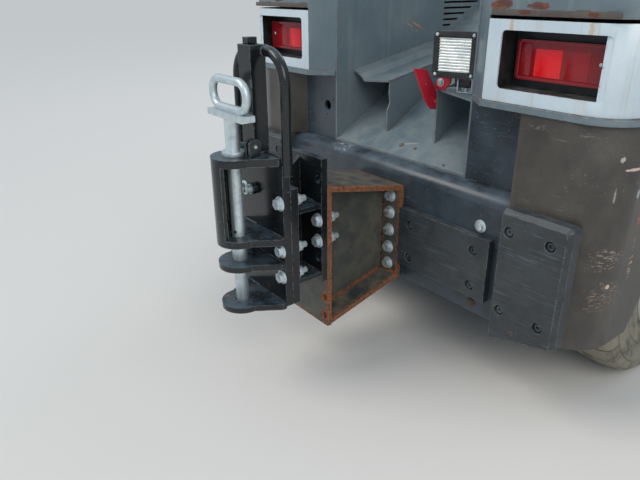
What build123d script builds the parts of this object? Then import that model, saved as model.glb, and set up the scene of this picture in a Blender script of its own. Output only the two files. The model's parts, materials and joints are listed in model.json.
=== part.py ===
"""Industrial tow tractor: cab ahead of a battery deck, adjustable drawbar jaw at the back.

Millimetres, +Z up, +Y forward, +X to the right seen from behind.  The origin is on the
floor, at the middle of the machine's outline with its drawbar jaw.  Everything is modelled
with Y measured forward from the rear face of the lamp panels, and save() moves it to the
origin at the end.
"""
import os
from math import cos, radians, sin, tan
from build123d import *

# Whole machine
BODY_WIDTH = 1530.0       # over the lower sides
ROOF_HEIGHT = 2100.0
LAMP_HEIGHT = 980.0       # centre of the rear lamps above the floor
SKIRT_HEIGHT = 260.0      # lower edge of the bodywork above the floor
WHEELBASE = 1900.0
REAR_OVERHANG = 526.0     # rear face to rear axle
FRONT_OVERHANG = 524.0    # front axle to bumper face
BUMPER_DEPTH = 50.0
BUMPER_HALF_WIDTH = 600.0
BUMPER_BOTTOM = 290.0
BUMPER_TOP = 520.0
BUMPER_ROUND = 30.0
COUPLING_POCKET = (110.0, 38.0, 90.0)   # width, depth, height
COUPLING_HOLE = 11.0
FRONT_AXLE_Y = REAR_OVERHANG + WHEELBASE
BODY_LENGTH = FRONT_AXLE_Y + FRONT_OVERHANG
DECK_HEIGHT = LAMP_HEIGHT + 160.0
CORNER_RADIUS = 100.0     # rear corners in plan, at the lamps
LOWER_RADIUS = 135.0      # rear corners in plan, under the lamps
NOSE_RADIUS = 150.0       # front corners in plan
SKIN = 6.0                # body sheet
PLATE = 12.0              # heavy steel plate

# Wheels
TYRE_DIAMETER = 660.0
TYRE_WIDTH = 185.0
TYRE_OUTER_X = 746.0      # outer shoulder from the middle of the machine
RIM_DIAMETER = 305.0
RIM_WALL = 8.0
RIM_LIP = 12.0
HUB_RADIUS = 62.0
STUB_RADIUS = 25.0
ARCH_GAP = 30.0           # liner of the rear arch round the tyre
ARCH_OPENING = 245.0      # radius of the opening in the skirt over the rear wheel
ARCH_FLARE = 293.0        # half width of that opening at the skirt's lower edge
ARCH_FLARE_TOP = 19.0     # height over the axle where the flare begins
STEER_ARCH_GAP = 50.0     # front arch round the tyre
RUNNING = 0.05            # radial clearance of a running fit
SEAT_GAP = 0.1            # tyre on its rim

# Steering
KINGPIN_X = 490.0
KINGPIN_RADIUS = 20.0
KNUCKLE_HALF = 39.7       # half height of its body, between the ears
KNUCKLE_RADIUS = 36.0
KINGPIN_HALF = 75.0
KINGPIN_COLLAR = (60.5, 72.0, 30.0)     # heights from the axle, radius
STEER_ARM = 150.0
EAR_LOWER, EAR_UPPER, EAR_PLATE = 60.0, 40.0, 20.0   # below and above the axle, thickness
EAR_HALF = 42.0
FRONT_BEAM_HALF = 45.0
STEER_CYLINDER = (230.0, 34.0)          # half length, radius

# Drive axle
AXLE_TUBE_RADIUS = 70.0
DIFFERENTIAL_RADIUS = 135.0
DRIVE_NECK = (260.0, 62.0)              # reach forward, radius
DRIVE_MOTOR = (420.0, 105.0)
MOTOR_RISE = 10.0
BRAKE_RADIUS = 120.0
SPINDLE_RADIUS = 48.0
AXLE_PAD_HALF = 60.0

# Chassis rails
RAIL_X = 300.0            # inner face of a rail
RAIL_WALL = 20.0
RAIL_BOTTOM = 420.0
RAIL_TOP = 600.0
FLOOR_PLATE = 6.0

# Chute for the hitch in the rear deck
CHUTE_HALF_WIDTH = 297.0
CHUTE_LIP_Y = 62.0        # rear edge of its walls and floor
SILL_HEIGHT = 628.0       # rear edge of its floor above the floor of the yard
CHUTE_SLOPE = 30.0
CHUTE_SHEET = 6.0
RIB_SHEET = 6.0
RIB_RUN = 420.0           # length of the ribs and the left shelf
SHELF_RISE = 80.0         # rise of the left shelf over that length
RIB_EDGE = [(-3.0, 96.0), (10.0, 70.0), (4.0, 37.0), (6.0, 0.0)]  # torch-cut edge: y, drop
SHELF_SECTION = [(-297.0, 18.0), (-262.0, 6.0), (-238.0, -12.0), (-115.0, 0.0)]
RIB_LEFT_X = -115.0
RIB_RIGHT_X = 105.0
RIB_Y = 140.0
RIB_TOP = 850.0
LOUVRE_COUNT = 5
LOUVRE_PITCH = 21.0
LOUVRE_HEIGHT = 7.0
LOUVRE_Y = 600.0
LOUVRE_DROP = 138.0       # lowest slot under the deck
LOUVRE_FIRST = 48.0       # length of the lowest slot
LOUVRE_STEP = 40.0        # each next one is longer by this

# Rear lamps
PANEL_INNER_X = 380.0
PANEL_BOTTOM = -103.0     # from the lamp centre
PANEL_TOP = 103.0
PANEL_SIDE_LENGTH = 200.0
PANEL_SHADOW = 8.0        # dark gap over the panels
TRIM_GAP = 0.3            # round a piece let into the sheet
WINDOW_INNER_X = 420.0
WINDOW_OUTER_X = 700.0
WINDOW_HALF_HEIGHT = 70.0
WINDOW_RADIUS = 12.0
HOUSING_DEPTH = 70.0
REAR_LAMP_WIDTH = 238.0
REAR_LAMP_HEIGHT = 96.0
REAR_LAMP_DEPTH = 30.0
LEDGE_THICKNESS = 16.0
LEDGE_LIP = 6.0
LEDGE_TOP = -105.0        # from the lamp centre

# Lower rear bodywork
CORNER_SEAM_X = 504.0
CORNER_FLANGE_IN = 31.0   # its upper flange leans this far towards the chute
BEAM_FACE_Y = 10.0
BEAM_BOTTOM = 245.0
BEAM_ROLL = 40.0
SOCKET_X = -349.0
SOCKET_HEIGHT = LAMP_HEIGHT - 231.0
SOCKET_RADIUS = 18.0
SOCKET_SCREWS = [(-384.0, 768.0), (-353.0, 716.0), (-317.0, 772.0)]
SCREW_HOLE = 3.0

# Hitch
PIN_BACK = 538.0          # pin axis behind the rear face
NOSE_R = 62.0             # rounded ends of the jaw plates
HITCH_HALF_WIDTH = 108.0
BRACKET_PLATE = 16.0
BRACKET_REACH = 302.0     # rear face to the bracket's rear plate
BRACKET_TOP_REAR = 626.0
BRACKET_BOTTOM_REAR = 164.0
BRACKET_TOP_FRONT = 566.0
BRACKET_BOTTOM_FRONT = 246.0
BRACKET_WEB_X = 26.0
SPACER_PLATE = 22.0       # its front plate
SPACER_REAR_PLATE = 25.0
SPACER_DEPTH = 128.0      # over both of its plates
SPACER_BOTTOM = 330.0
SPACER_TOP = 711.0
SPACER_REAR_TOP = 645.0
SPACER_RIB = 14.0
SPACER_WEB = 12.0
JAW_PLATE = 25.0
JAW_BOTTOM = 290.0
JAW_TOP = 738.0
JAW_LEVELS = [            # top height, thickness
    (738.0, 22.0),
    (507.0, 20.0),
    (431.0, 18.0),
    (301.0, 18.0),
]
GUARD_END = 25.0          # the guard ends this far past the middle
GUARD_WALL = 10.0
MAST_WIDTH = 60.0
MAST_DEPTH = 46.0
MAST_WALL = 6.0
MAST_TOP = 1017.0
MAST_BACK = 488.0         # its rear face behind the rear face of the body
MAST_CAP = (22.0, 30.0, 16.0)
HOOP_RADIUS = 14.0
HOOP_BEND = 76.0
HOOP_END = 50.0           # its ends reach this far under the top of the jaw
PIN_RADIUS = 19.0
PIN_SLEEVE = 21.5         # thicker part of the pin between two plates
PIN_HOLE = 23.0
PIN_BAR_Z = 839.0
PIN_BAR = (178.0, 40.0, 15.0)
PIN_COLLAR_RADIUS = 31.0
PIN_COLLAR = 12.0
LOOP_WIDTH = 194.0
LOOP_HEIGHT = 94.0
LOOP_ROD = 11.0
CLAMP_X = 47.0            # forked lug beside the mast: middle, place behind the rear face
CLAMP_BACK = 505.0
CLAMP_EAR = (9.0, 34.0, 46.0)
CLAMP_PITCH = 19.0
CLAMP_HOLE = 5.0
STOP_X = -38.0            # stop bolt's washer on the jaw's back plate
STOP_Z = 618.0
BOLT_RADIUS = 15.0
BOLT_FLANGE_RADIUS = 21.4
BOLT_HEAD = 13.0
BOLT_SHANK = 10.0
HOLE_RADIUS = 11.0

# Cab
CAB_REAR = FRONT_AXLE_Y - 1026.0
CAB_HALF_WIDTH = 745.0
POST = 50.0
DOOR_THICKNESS = 38.0
DOOR_GAP = 5.0
DOOR_REAR = CAB_REAR + 55.0
DOOR_FRONT = DOOR_REAR + 555.0
DOOR_BELT = 1130.0        # lower edge of the windows
EAVES = ROOF_HEIGHT - 60.0
COWL_Y = BODY_LENGTH - 390.0
COWL_HEIGHT = 1180.0
SCREEN_TOP_Y = COWL_Y - 180.0
GLASS = 6.0
FRONT_BODY_REAR = DOOR_FRONT + 60.0
NOSE_Y = BODY_LENGTH - BUMPER_DEPTH
NOSE_HEIGHT = 1020.0
WHEELHOUSE_TOP = 726.0
FOOTWELL_HALF_WIDTH = 340.0
FIREWALL_Y = COWL_Y - 60.0

# Battery lid, bolts, lamps and windows
LID_HALF_WIDTH = 560.0
TAN_SLOPE = tan(radians(CHUTE_SLOPE))
CHUTE_END_Y = CHUTE_LIP_Y + (DECK_HEIGHT - SKIN - SILL_HEIGHT - 8) / TAN_SLOPE
BRIDGE_LENGTH = 50.0      # deck between the chute's end, to the nearest 10 mm, and the lid
LID_REAR = round(CHUTE_END_Y, -1) + BRIDGE_LENGTH
LID_FRONT = CAB_REAR - 10.0
BOLT_X = 92.0             # bolts of jaw and spacer from the middle
BEAM_BOLT_X = 66.0        # bolts of the bracket on the beam
JAW_BOLT_Z = [382.0, 464.0, 606.0]
SPACER_BOLT_Z = [460.0, 526.0]
SPACER_HOLE_Z = [404.0, 650.0]
SPACER_RIBS = [347.0, 565.0]
BRACKET_HOLES = [198.0, 262.0, 460.0, 526.0]
BEAM_BOLT_Z = [284.0, 344.0, 406.0, 468.0, 526.0]
HEADLAMP_X = 560.0
HEADLAMP_Z = 800.0
HEADLAMP_RADIUS = 80.0
REAR_WINDOW_HALF = 560.0
REAR_WINDOW_Z0 = 1240.0
REAR_WINDOW_Z1 = EAVES - 140.0

# Pads on the beam and on the corners
PAD_BORE = 15.0           # counterbore of a pad's bolts
PAD_BORE_DEPTH = 13.0
BEAM_PAD = [(114.0, 304.0), (465.0, 304.0), (465.0, 500.0), (114.0, 500.0)]
BEAM_PAD_DEPTH = 22.0
BEAM_PAD_BOLTS = [(163.0, 340.0), (163.0, 452.0), (410.0, 340.0), (410.0, 452.0)]
CORNER_PAD = [(516.0, 232.0), (712.0, 282.0), (712.0, 618.0), (516.0, 618.0)]
CORNER_PAD_DEPTH = 42.0
CORNER_PAD_ROUND = 18.0
CORNER_PAD_BEVEL = 12.0
CORNER_PAD_BOLTS = [(540.0, 326.0), (540.0, 559.0), (660.0, 326.0), (660.0, 559.0)]

# Work lamp on the right shelf
WORK_LAMP = (200.0, 90.0, 966.0)   # middle of its face
WORK_LAMP_SIZE = 130.0
WORK_LAMP_TURN = 18.0     # turned to the right
WORK_LAMP_RIM = 20.0      # depth of its bezel
WORK_LAMP_DEPTH = 75.0
WORK_LAMP_ROUND = 14.0
WORK_LAMP_BACK = 45.0     # half width of the back of its housing
WORK_LAMP_FOOT = (-5.0, 45.0)

# Release lever in the chute and the stop tab beside the lamp
LEVER_SHAPE = [(40.0, 924.0), (95.0, 916.0), (114.0, 890.0), (158.0, 828.0), (153.0, 787.0),
               (124.0, 793.0), (98.0, 819.0)]
LEVER_HOLE = (94.0, 873.0)
TAB_SHAPE = [(106.0, 0.3), (104.0, 17.0), (117.0, 36.0), (129.0, 41.0), (164.0, 38.0), (164.0, 24.0),
             (142.0, 0.3)]
TAB_BOLT = (127.0, 22.0)
TAB_Y = 126.0

# Hinges
HINGE_X = 754.0           # door hinge axis, just outside the door
HINGE_Y = DOOR_FRONT + DOOR_GAP / 2
HINGE_RADIUS = 8.0
HINGE_PIN = 3.0
HINGE_LENGTH = 60.0
HINGE_HEIGHTS = [700.0, EAVES - 240.0]
LID_HINGE_Y = LID_FRONT + 3.0
LID_HINGE_Z = DECK_HEIGHT + 3.0
LID_HINGE_RADIUS = 5.0
LID_HINGE_PIN = 2.5
LID_HINGES = [-380.0, 380.0]

# Steps and battery tray
STEP_LENGTH = 400.0
STEP_DEPTH = 170.0
STEP_BOTTOM, STEP_TOP = 320.0, 520.0
STEP_SHEET = 6.0
STEP_SETBACK = 85.0       # ahead of the door's rear edge
TRAY_LENGTH = 450.0

# Driver's seat
SEAT_REAR = 80.0          # ahead of the cab's rear wall
SEAT_BASE_HALF = 200.0
SEAT_BASE_LENGTH = 360.0
SEAT_BASE_HEIGHT = 254.0
CUSHION_HALF = 250.0
CUSHION_LENGTH = 420.0
CUSHION_TOP = 374.0
CUSHION_ROUND = 30.0
BACK_HALF = 235.0
BACK_FOOT = 344.0
BACK_TOP = 914.0
BACK_DEPTH = 110.0
BACK_LEAN = 30.0
BACK_ROUND = 25.0

# Dash and pedals
DASH_BELOW_COWL = 20.0
DASH_HEIGHT = 160.0
DASH_DEPTH = 120.0
DASH_EDGE = 100.0
COLUMN_RADIUS = 28.0
COLUMN_REACH = (35.0, 640.0)            # along its axis, from the wheel's centre
PEDALS_X = (110.0, 210.0)
PEDAL_REACH = 128.0
PEDAL_RISE = 60.0
PEDAL_HALF = 35.0
PEDAL_HEIGHT = 80.0
PEDAL_PLATE = 12.0
PEDAL_ARM = (8.0, 55.0, 71.0)           # half width, lower and upper edge

# Mirrors
MIRROR_AHEAD = 20.0       # ahead of the door
MIRROR_DROP = 390.0       # arm below the eaves
MIRROR_ARM = (110.0, 14.0)
MIRROR_SHELL = (60.0, 220.0)            # inner and outer side, from the cab's side
MIRROR_DEPTH = 30.0
MIRROR_BELOW, MIRROR_ABOVE = 150.0, 130.0

# Steering wheel
WHEEL_RING = (175.0, 14.0)              # radius of its ring, of its grip
WHEEL_HUB = (40.0, 40.0)
WHEEL_SPOKE = (180.0, 26.0, 10.0)
WHEEL_NECK = (24.0, 16.0, 26.0)         # radius, length, below the centre
WHEEL_CENTRE_Y = DOOR_FRONT + 120.0
WHEEL_CENTRE_Z = 1240.0
COLUMN_TILT = 35.0        # from the vertical

# Derived sizes
SIN_TILT = sin(radians(COLUMN_TILT))
COS_TILT = cos(radians(COLUMN_TILT))
HALF_WIDTH = BODY_WIDTH / 2
HITCH_REACH = PIN_BACK + NOSE_R
TO_ORIGIN = -(BODY_LENGTH - HITCH_REACH) / 2
AXLE_HEIGHT = TYRE_DIAMETER / 2
TYRE_INNER_X = TYRE_OUTER_X - TYRE_WIDTH
LEDGE_Z = LAMP_HEIGHT + LEDGE_TOP
SIDES = [("left", -1), ("right", 1)]


def slab(x0, x1, y0, y1, z0, z1):
    """Block between two corners."""
    x0, x1 = min(x0, x1), max(x0, x1)
    block = Box(x1 - x0, y1 - y0, z1 - z0)
    return Pos((x0 + x1) / 2, (y0 + y1) / 2, (z0 + z1) / 2) * block


def outline(points, rounds=()):
    """Closed face through the points; rounds lists (index of a point, radius)."""
    face = make_face(Polyline(*points, close=True))
    for index, radius in rounds:
        px, py = points[index]
        corner = min(face.vertices(), key=lambda v: (v.X - px) ** 2 + (v.Y - py) ** 2)
        face = fillet(corner, radius)
    return face


def prism_x(face, x0, x1):
    """Face drawn in Y and Z, pushed from x0 to x1."""
    lo, hi = min(x0, x1), max(x0, x1)
    plane = Plane(origin=(lo, 0, 0), x_dir=(0, 1, 0), z_dir=(1, 0, 0))
    return extrude(plane * face, hi - lo)


def prism_y(face, y0, y1):
    """Face drawn in X and Z, pushed from y0 to y1."""
    plane = Plane(origin=(0, y1, 0), x_dir=(1, 0, 0), z_dir=(0, -1, 0))
    return extrude(plane * face, y1 - y0)


def prism_z(face, z0, z1):
    """Face drawn in plan, pushed from z0 to z1."""
    return extrude(Plane.XY.offset(z0) * face, z1 - z0)


def rod_x(x0, x1, y, z, radius):
    lo, hi = min(x0, x1), max(x0, x1)
    return Pos((lo + hi) / 2, y, z) * Rot(0, 90, 0) * Cylinder(radius, hi - lo)


def rod_y(x, y0, y1, z, radius):
    return Pos(x, (y0 + y1) / 2, z) * Rot(90, 0, 0) * Cylinder(radius, y1 - y0)


def rod_z(x, y, z0, z1, radius):
    return Pos(x, y, (z0 + z1) / 2) * Cylinder(radius, z1 - z0)


def window_cut(x0, x1, y0, y1, z0, z1, radius):
    """Cutter with rounded corners through a wall that faces along Y."""
    width, height = abs(x1 - x0), z1 - z0
    shape = RectangleRounded(width, height, radius)
    return prism_y(Pos((x0 + x1) / 2, (z0 + z1) / 2) * shape, y0, y1)


def side_cut(x0, x1, y0, y1, z0, z1, radius):
    """Cutter with rounded corners through a wall that faces along X."""
    shape = RectangleRounded(y1 - y0, z1 - z0, radius)
    return prism_x(Pos((y0 + y1) / 2, (z0 + z1) / 2) * shape, x0, x1)


def solids_of(shape):
    return shape.solids() if hasattr(shape, "solids") else [shape]


def save(name, shape):
    moved = [Pos(0, TO_ORIGIN, 0) * solid for solid in solids_of(shape)]
    export_step(Compound(children=moved) if len(moved) > 1 else moved[0],
                f"parts/{name}.step")


def mirrored(shape):
    return mirror(shape, Plane.YZ)


def both_sides(shape):
    """A piece and its mirror image, as separate solids."""
    return Compound(children=[*solids_of(shape), *solids_of(mirrored(shape))])


# Running gear

def wheel_rim(side, y):
    """Steel rim with hub and disc, bored for its stub axle."""
    middle = side * (TYRE_OUTER_X - TYRE_WIDTH / 2)
    radius = RIM_DIAMETER / 2
    half = TYRE_WIDTH / 2 - 10
    barrel = rod_x(middle - half, middle + half, y, AXLE_HEIGHT, radius)
    barrel -= rod_x(middle - half - 1, middle + half + 1, y, AXLE_HEIGHT, radius - RIM_WALL)
    for end in (-1, 1):
        edge = middle + end * half
        lip = rod_x(edge, edge - end * 6, y, AXLE_HEIGHT, radius + RIM_LIP)
        lip -= rod_x(edge + end, edge - end * 7, y, AXLE_HEIGHT, radius - RIM_WALL)
        barrel += lip
    disc_x = middle + side * 20
    disc = rod_x(disc_x, disc_x + side * 10, y, AXLE_HEIGHT, radius - RIM_WALL / 2)
    hub = rod_x(middle - side * 40, middle + side * 60, y, AXLE_HEIGHT, HUB_RADIUS)
    for number in range(8):
        turn = Pos(0, y, AXLE_HEIGHT) * Rot(number * 45 + 22.5, 0, 0) * Pos(0, -y, -AXLE_HEIGHT)
        hole = rod_x(disc_x - side * 1, disc_x + side * 11, y + 102, AXLE_HEIGHT, 16)
        disc -= turn * hole
    rim = barrel + disc + hub
    bore = rod_x(middle - side * 41, middle + side * 42, y, AXLE_HEIGHT, STUB_RADIUS + RUNNING)
    return rim - bore


def tyre(side, y):
    """Closed tyre profile turned about the axle."""
    middle = side * (TYRE_OUTER_X - TYRE_WIDTH / 2)
    half = TYRE_WIDTH / 2
    bead = RIM_DIAMETER / 2 + SEAT_GAP
    top = TYRE_DIAMETER / 2
    bead_half = half - 16.2
    points = [(-bead_half, bead), (bead_half, bead), (bead_half, bead + 14), (half, bead + 60),
              (half, top - 42), (half - 22, top - 6), (60, top), (-60, top),
              (22 - half, top - 6), (-half, top - 42), (-half, bead + 60),
              (-bead_half, bead + 14)]
    face = outline(points, [(3, 22), (10, 22), (4, 20), (9, 20)])
    plane = Plane(origin=(middle, y, AXLE_HEIGHT), x_dir=(1, 0, 0), z_dir=(0, -1, 0))
    return revolve(plane * face, Axis((middle, y, AXLE_HEIGHT), (1, 0, 0)))


def rear_axle():
    """Drive axle: tubes, differential housing, spring pads and stubs."""
    y, z = REAR_OVERHANG, AXLE_HEIGHT
    middle = TYRE_OUTER_X - TYRE_WIDTH / 2
    axle = rod_x(-TYRE_INNER_X + 20, TYRE_INNER_X - 20, y, z, AXLE_TUBE_RADIUS)
    axle += Pos(0, y, z) * Sphere(DIFFERENTIAL_RADIUS)
    axle += rod_y(0, y, y + DRIVE_NECK[0], z + MOTOR_RISE, DRIVE_NECK[1])
    axle += rod_y(0, y + DRIVE_NECK[0] - 1, y + DRIVE_MOTOR[0], z + MOTOR_RISE, DRIVE_MOTOR[1])
    for _, side in SIDES:
        axle += slab(side * (RAIL_X - 10), side * (RAIL_X + RAIL_WALL + 10),
                     y - AXLE_PAD_HALF, y + AXLE_PAD_HALF, z + 40, RAIL_BOTTOM)
        axle += rod_x(side * (TYRE_INNER_X - 30), side * (middle - 42), y, z, SPINDLE_RADIUS)
        axle += rod_x(side * (middle - 43), side * (middle + 40), y, z, STUB_RADIUS)
        axle += rod_x(side * (TYRE_INNER_X - 45), side * (TYRE_INNER_X - 25), y, z, BRAKE_RADIUS)
    return axle


def front_axle():
    """Steer axle: beam with forked ends, centre mount and steering cylinder."""
    y, z = FRONT_AXLE_Y, AXLE_HEIGHT
    half = FRONT_BEAM_HALF
    beam = slab(-KINGPIN_X + 70, KINGPIN_X - 70, y - half, y + half, z - half, z + half)
    beam += slab(-RAIL_X - RAIL_WALL, RAIL_X + RAIL_WALL, y - AXLE_PAD_HALF, y + AXLE_PAD_HALF,
                 z + half - 1, RAIL_BOTTOM)
    beam += rod_x(-STEER_CYLINDER[0], STEER_CYLINDER[0], y - 90, z, STEER_CYLINDER[1])
    beam += slab(-160, 160, y - 90, y - 40, z - 22, z + 22)
    for _, side in SIDES:
        for lower in (z - EAR_LOWER, z + EAR_UPPER):
            ear = rod_z(side * KINGPIN_X, y, lower, lower + EAR_PLATE, EAR_HALF)
            ear += slab(side * (KINGPIN_X - 90), side * KINGPIN_X, y - EAR_HALF, y + EAR_HALF,
                        lower, lower + EAR_PLATE)
            beam += ear
    for _, side in SIDES:
        beam -= rod_z(side * KINGPIN_X, y, z - 100, z + 100, KINGPIN_RADIUS + RUNNING)
        beam -= rod_z(side * KINGPIN_X, y, z - 40, z + 40, 50)
    return beam


def knuckle(side):
    """Steering knuckle: kingpin, stub axle and steering arm."""
    x, y, z = side * KINGPIN_X, FRONT_AXLE_Y, AXLE_HEIGHT
    middle = side * (TYRE_OUTER_X - TYRE_WIDTH / 2)
    near, far, collar = KINGPIN_COLLAR
    body = rod_z(x, y, z - KNUCKLE_HALF, z + KNUCKLE_HALF, KNUCKLE_RADIUS)
    body += rod_z(x, y, z - KINGPIN_HALF, z + KINGPIN_HALF, KINGPIN_RADIUS)
    body += rod_z(x, y, z + near, z + far, collar)
    body += rod_z(x, y, z - far, z - near, collar)
    body += rod_x(x, middle - side * 42, y, z, 34)
    body += rod_x(middle - side * 43, middle + side * 40, y, z, STUB_RADIUS)
    arm = slab(x - 16, x + 16, y - STEER_ARM, y, z - 12, z + 12)
    arm += rod_z(x, y - STEER_ARM, z - 12, z + 30, 16)
    return body + arm


# Chassis and rear bodywork

def chassis():
    """Two rails, cross members, battery tray and cab floor."""
    rear, front = CHUTE_LIP_Y + PLATE, NOSE_Y - SKIN
    frame = None
    for _, side in SIDES:
        rail = slab(side * RAIL_X, side * (RAIL_X + RAIL_WALL), rear, front, RAIL_BOTTOM, RAIL_TOP)
        frame = rail if frame is None else frame + rail
    for y in (rear, CAB_REAR - TRAY_LENGTH + 10, CAB_REAR, DOOR_FRONT - 10, front - PLATE):
        frame += slab(-RAIL_X, RAIL_X, y, y + PLATE, RAIL_BOTTOM, RAIL_TOP)
    half = CAB_HALF_WIDTH - POST
    frame += slab(-half, half, CAB_REAR - TRAY_LENGTH, DOOR_FRONT - 10, RAIL_TOP - 1,
                  RAIL_TOP + FLOOR_PLATE)
    frame += slab(-FOOTWELL_HALF_WIDTH, FOOTWELL_HALF_WIDTH, DOOR_FRONT - 11, FIREWALL_Y,
                  RAIL_TOP - 1, RAIL_TOP + FLOOR_PLATE)
    return frame


def rear_plan(offset, inner_x, forward, radius=CORNER_RADIUS):
    """Plan of one rear corner, moved inwards by offset."""
    x1, y0 = HALF_WIDTH - offset, offset
    points = [(inner_x, y0), (x1, y0), (x1, forward), (inner_x, forward)]
    return outline(points, [(1, radius - offset)])


def corner_skin(thickness, inner_x, forward, z0, z1, radius=CORNER_RADIUS):
    """Bent plate along the rear face, round the corner and along the side."""
    outer = prism_z(rear_plan(0, inner_x, forward, radius), z0, z1)
    core = prism_z(rear_plan(thickness, inner_x - 1, forward + 1, radius), z0 - 1, z1 + 1)
    return outer - core


def rear_side():
    """Right lower corner body: its skirt over the rear wheel, the opening in it and the liner."""
    top = LEDGE_Z - LEDGE_THICKNESS
    body = corner_skin(PLATE, CORNER_SEAM_X, CAB_REAR, SKIRT_HEIGHT, top, LOWER_RADIUS)
    seam, far_y = CORNER_SEAM_X, CHUTE_LIP_Y - TRIM_GAP
    body += slab(seam, seam + PLATE, 0, CHUTE_LIP_Y, SKIRT_HEIGHT, SILL_HEIGHT)
    leaning = outline([(seam, 0), (seam + PLATE, 0), (seam + PLATE - CORNER_FLANGE_IN, far_y),
                       (seam - CORNER_FLANGE_IN, far_y)])
    body += prism_z(leaning, SILL_HEIGHT + TRIM_GAP, top)
    y, z = REAR_OVERHANG, AXLE_HEIGHT
    inner_x, radius = TYRE_INNER_X - 20, AXLE_HEIGHT + ARCH_GAP
    liner = rod_x(inner_x, HALF_WIDTH - 1, y, z, radius + SKIN)
    liner -= rod_x(inner_x - 1, HALF_WIDTH, y, z, radius)
    body += liner & slab(0, HALF_WIDTH, 0, CAB_REAR, z, DECK_HEIGHT)
    flare_y = (ARCH_OPENING ** 2 - ARCH_FLARE_TOP ** 2) ** 0.5
    flare = outline([(y - ARCH_FLARE, SKIRT_HEIGHT - 1), (y - flare_y, z + ARCH_FLARE_TOP),
                     (y + flare_y, z + ARCH_FLARE_TOP), (y + ARCH_FLARE, SKIRT_HEIGHT - 1)])
    opening = prism_x(flare + Pos(y, z) * Circle(ARCH_OPENING), HALF_WIDTH - PLATE - 1,
                      HALF_WIDTH + 1)
    return body - opening


def rear_beam():
    """Cross beam under the chute with a rolled upper edge, and the plates beside the chute."""
    top = SILL_HEIGHT
    face_y, lip_y = BEAM_FACE_Y, CHUTE_LIP_Y + PLATE
    seam = CORNER_SEAM_X - 0.5
    outer = outline([(face_y, BEAM_BOTTOM), (face_y, top), (lip_y, top), (lip_y, BEAM_BOTTOM)],
                    [(1, BEAM_ROLL)])
    inner = outline([(face_y + PLATE, BEAM_BOTTOM - 1), (face_y + PLATE, top - PLATE),
                     (lip_y + 1, top - PLATE), (lip_y + 1, BEAM_BOTTOM - 1)],
                    [(1, BEAM_ROLL - PLATE)])
    pieces = [prism_x(outer, -seam, seam) - prism_x(inner, -seam - 1, seam + 1)]
    socket = rod_y(SOCKET_X, CHUTE_LIP_Y - 1, CHUTE_LIP_Y + PLATE + 1, SOCKET_HEIGHT,
                   SOCKET_RADIUS)
    for _, side in SIDES:
        cheek = slab(side * (CHUTE_HALF_WIDTH + CHUTE_SHEET + 0.5), side * seam,
                     CHUTE_LIP_Y, CHUTE_LIP_Y + PLATE, top + TRIM_GAP, LEDGE_Z - LEDGE_THICKNESS)
        for x, z in SOCKET_SCREWS:
            cheek -= rod_y(x, CHUTE_LIP_Y - 1, CHUTE_LIP_Y + PLATE + 1, z, SCREW_HOLE)
        pieces.append(cheek - socket)
    return Compound(children=pieces)


def chute_floor_z(y):
    """Height of the chute floor's upper face."""
    from_lip = y - CHUTE_LIP_Y
    return SILL_HEIGHT + 8 + from_lip * TAN_SLOPE


def hitch_chute():
    """Sloping floor, side walls with louvres, two ribs and their shelves."""
    deck_under = DECK_HEIGHT - SKIN - 0.5
    end_y = CHUTE_LIP_Y + (deck_under - SILL_HEIGHT - 8) / TAN_SLOPE
    thick = 8.0
    floor = outline([(CHUTE_LIP_Y, SILL_HEIGHT + 0.5), (CHUTE_LIP_Y, SILL_HEIGHT + 8.5),
                     (end_y, deck_under), (end_y + thick / TAN_SLOPE * 1.2, deck_under)])
    inner, outer = CHUTE_HALF_WIDTH, CHUTE_HALF_WIDTH + CHUTE_SHEET
    chute = prism_x(floor, -outer, outer)
    wall = outline([(CHUTE_LIP_Y, SILL_HEIGHT + 0.5), (CHUTE_LIP_Y, deck_under),
                    (end_y, deck_under)])
    for _, side in SIDES:
        chute += prism_x(wall, side * inner, side * outer)
    rib_far = RIB_Y + RIB_RUN
    far_edge = [(rib_far, RIB_TOP + SHELF_RISE), (rib_far, chute_floor_z(rib_far) - thick / 2)]
    foot = [(RIB_Y, chute_floor_z(RIB_Y) - thick / 2)]
    torn = [(RIB_Y + y, RIB_TOP - drop) for y, drop in RIB_EDGE]
    left_rib = outline(foot + torn + far_edge, [(2, 12), (3, 12)])
    right_rib = outline(foot + [(RIB_Y, RIB_TOP)] + far_edge)
    for rib, rib_x in ((left_rib, RIB_LEFT_X), (right_rib, RIB_RIGHT_X)):
        chute += prism_x(rib, rib_x - RIB_SHEET / 2, rib_x + RIB_SHEET / 2)
    lower = [(x, RIB_TOP + rise) for x, rise in SHELF_SECTION]
    lower[0] = (-inner - 1, lower[0][1])
    lower[-1] = (RIB_LEFT_X + RIB_SHEET / 2, lower[-1][1])
    upper = [(x, z + RIB_SHEET) for x, z in reversed(lower)]
    along = Vector(0, RIB_RUN, SHELF_RISE)
    section = Plane(origin=(0, RIB_Y, 0), x_dir=(1, 0, 0), z_dir=(0, -1, 0)) * outline(lower + upper)
    chute += extrude(section, along.length, dir=along)
    right_shelf = outline([(RIB_RIGHT_X - 3, RIB_Y), (inner + 1, CHUTE_LIP_Y + 2),
                           (inner + 1, RIB_Y + 170), (RIB_RIGHT_X - 3, RIB_Y + 170)])
    chute += prism_z(right_shelf, RIB_TOP, RIB_TOP + RIB_SHEET)
    for number in range(LOUVRE_COUNT):
        length = LOUVRE_FIRST + number * LOUVRE_STEP
        z = DECK_HEIGHT - LOUVRE_DROP + number * LOUVRE_PITCH
        chute -= side_cut(-inner + 1, -outer - 1, LOUVRE_Y, LOUVRE_Y + length,
                          z, z + LOUVRE_HEIGHT, LOUVRE_HEIGHT / 2 - 0.01)
    return chute


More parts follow.
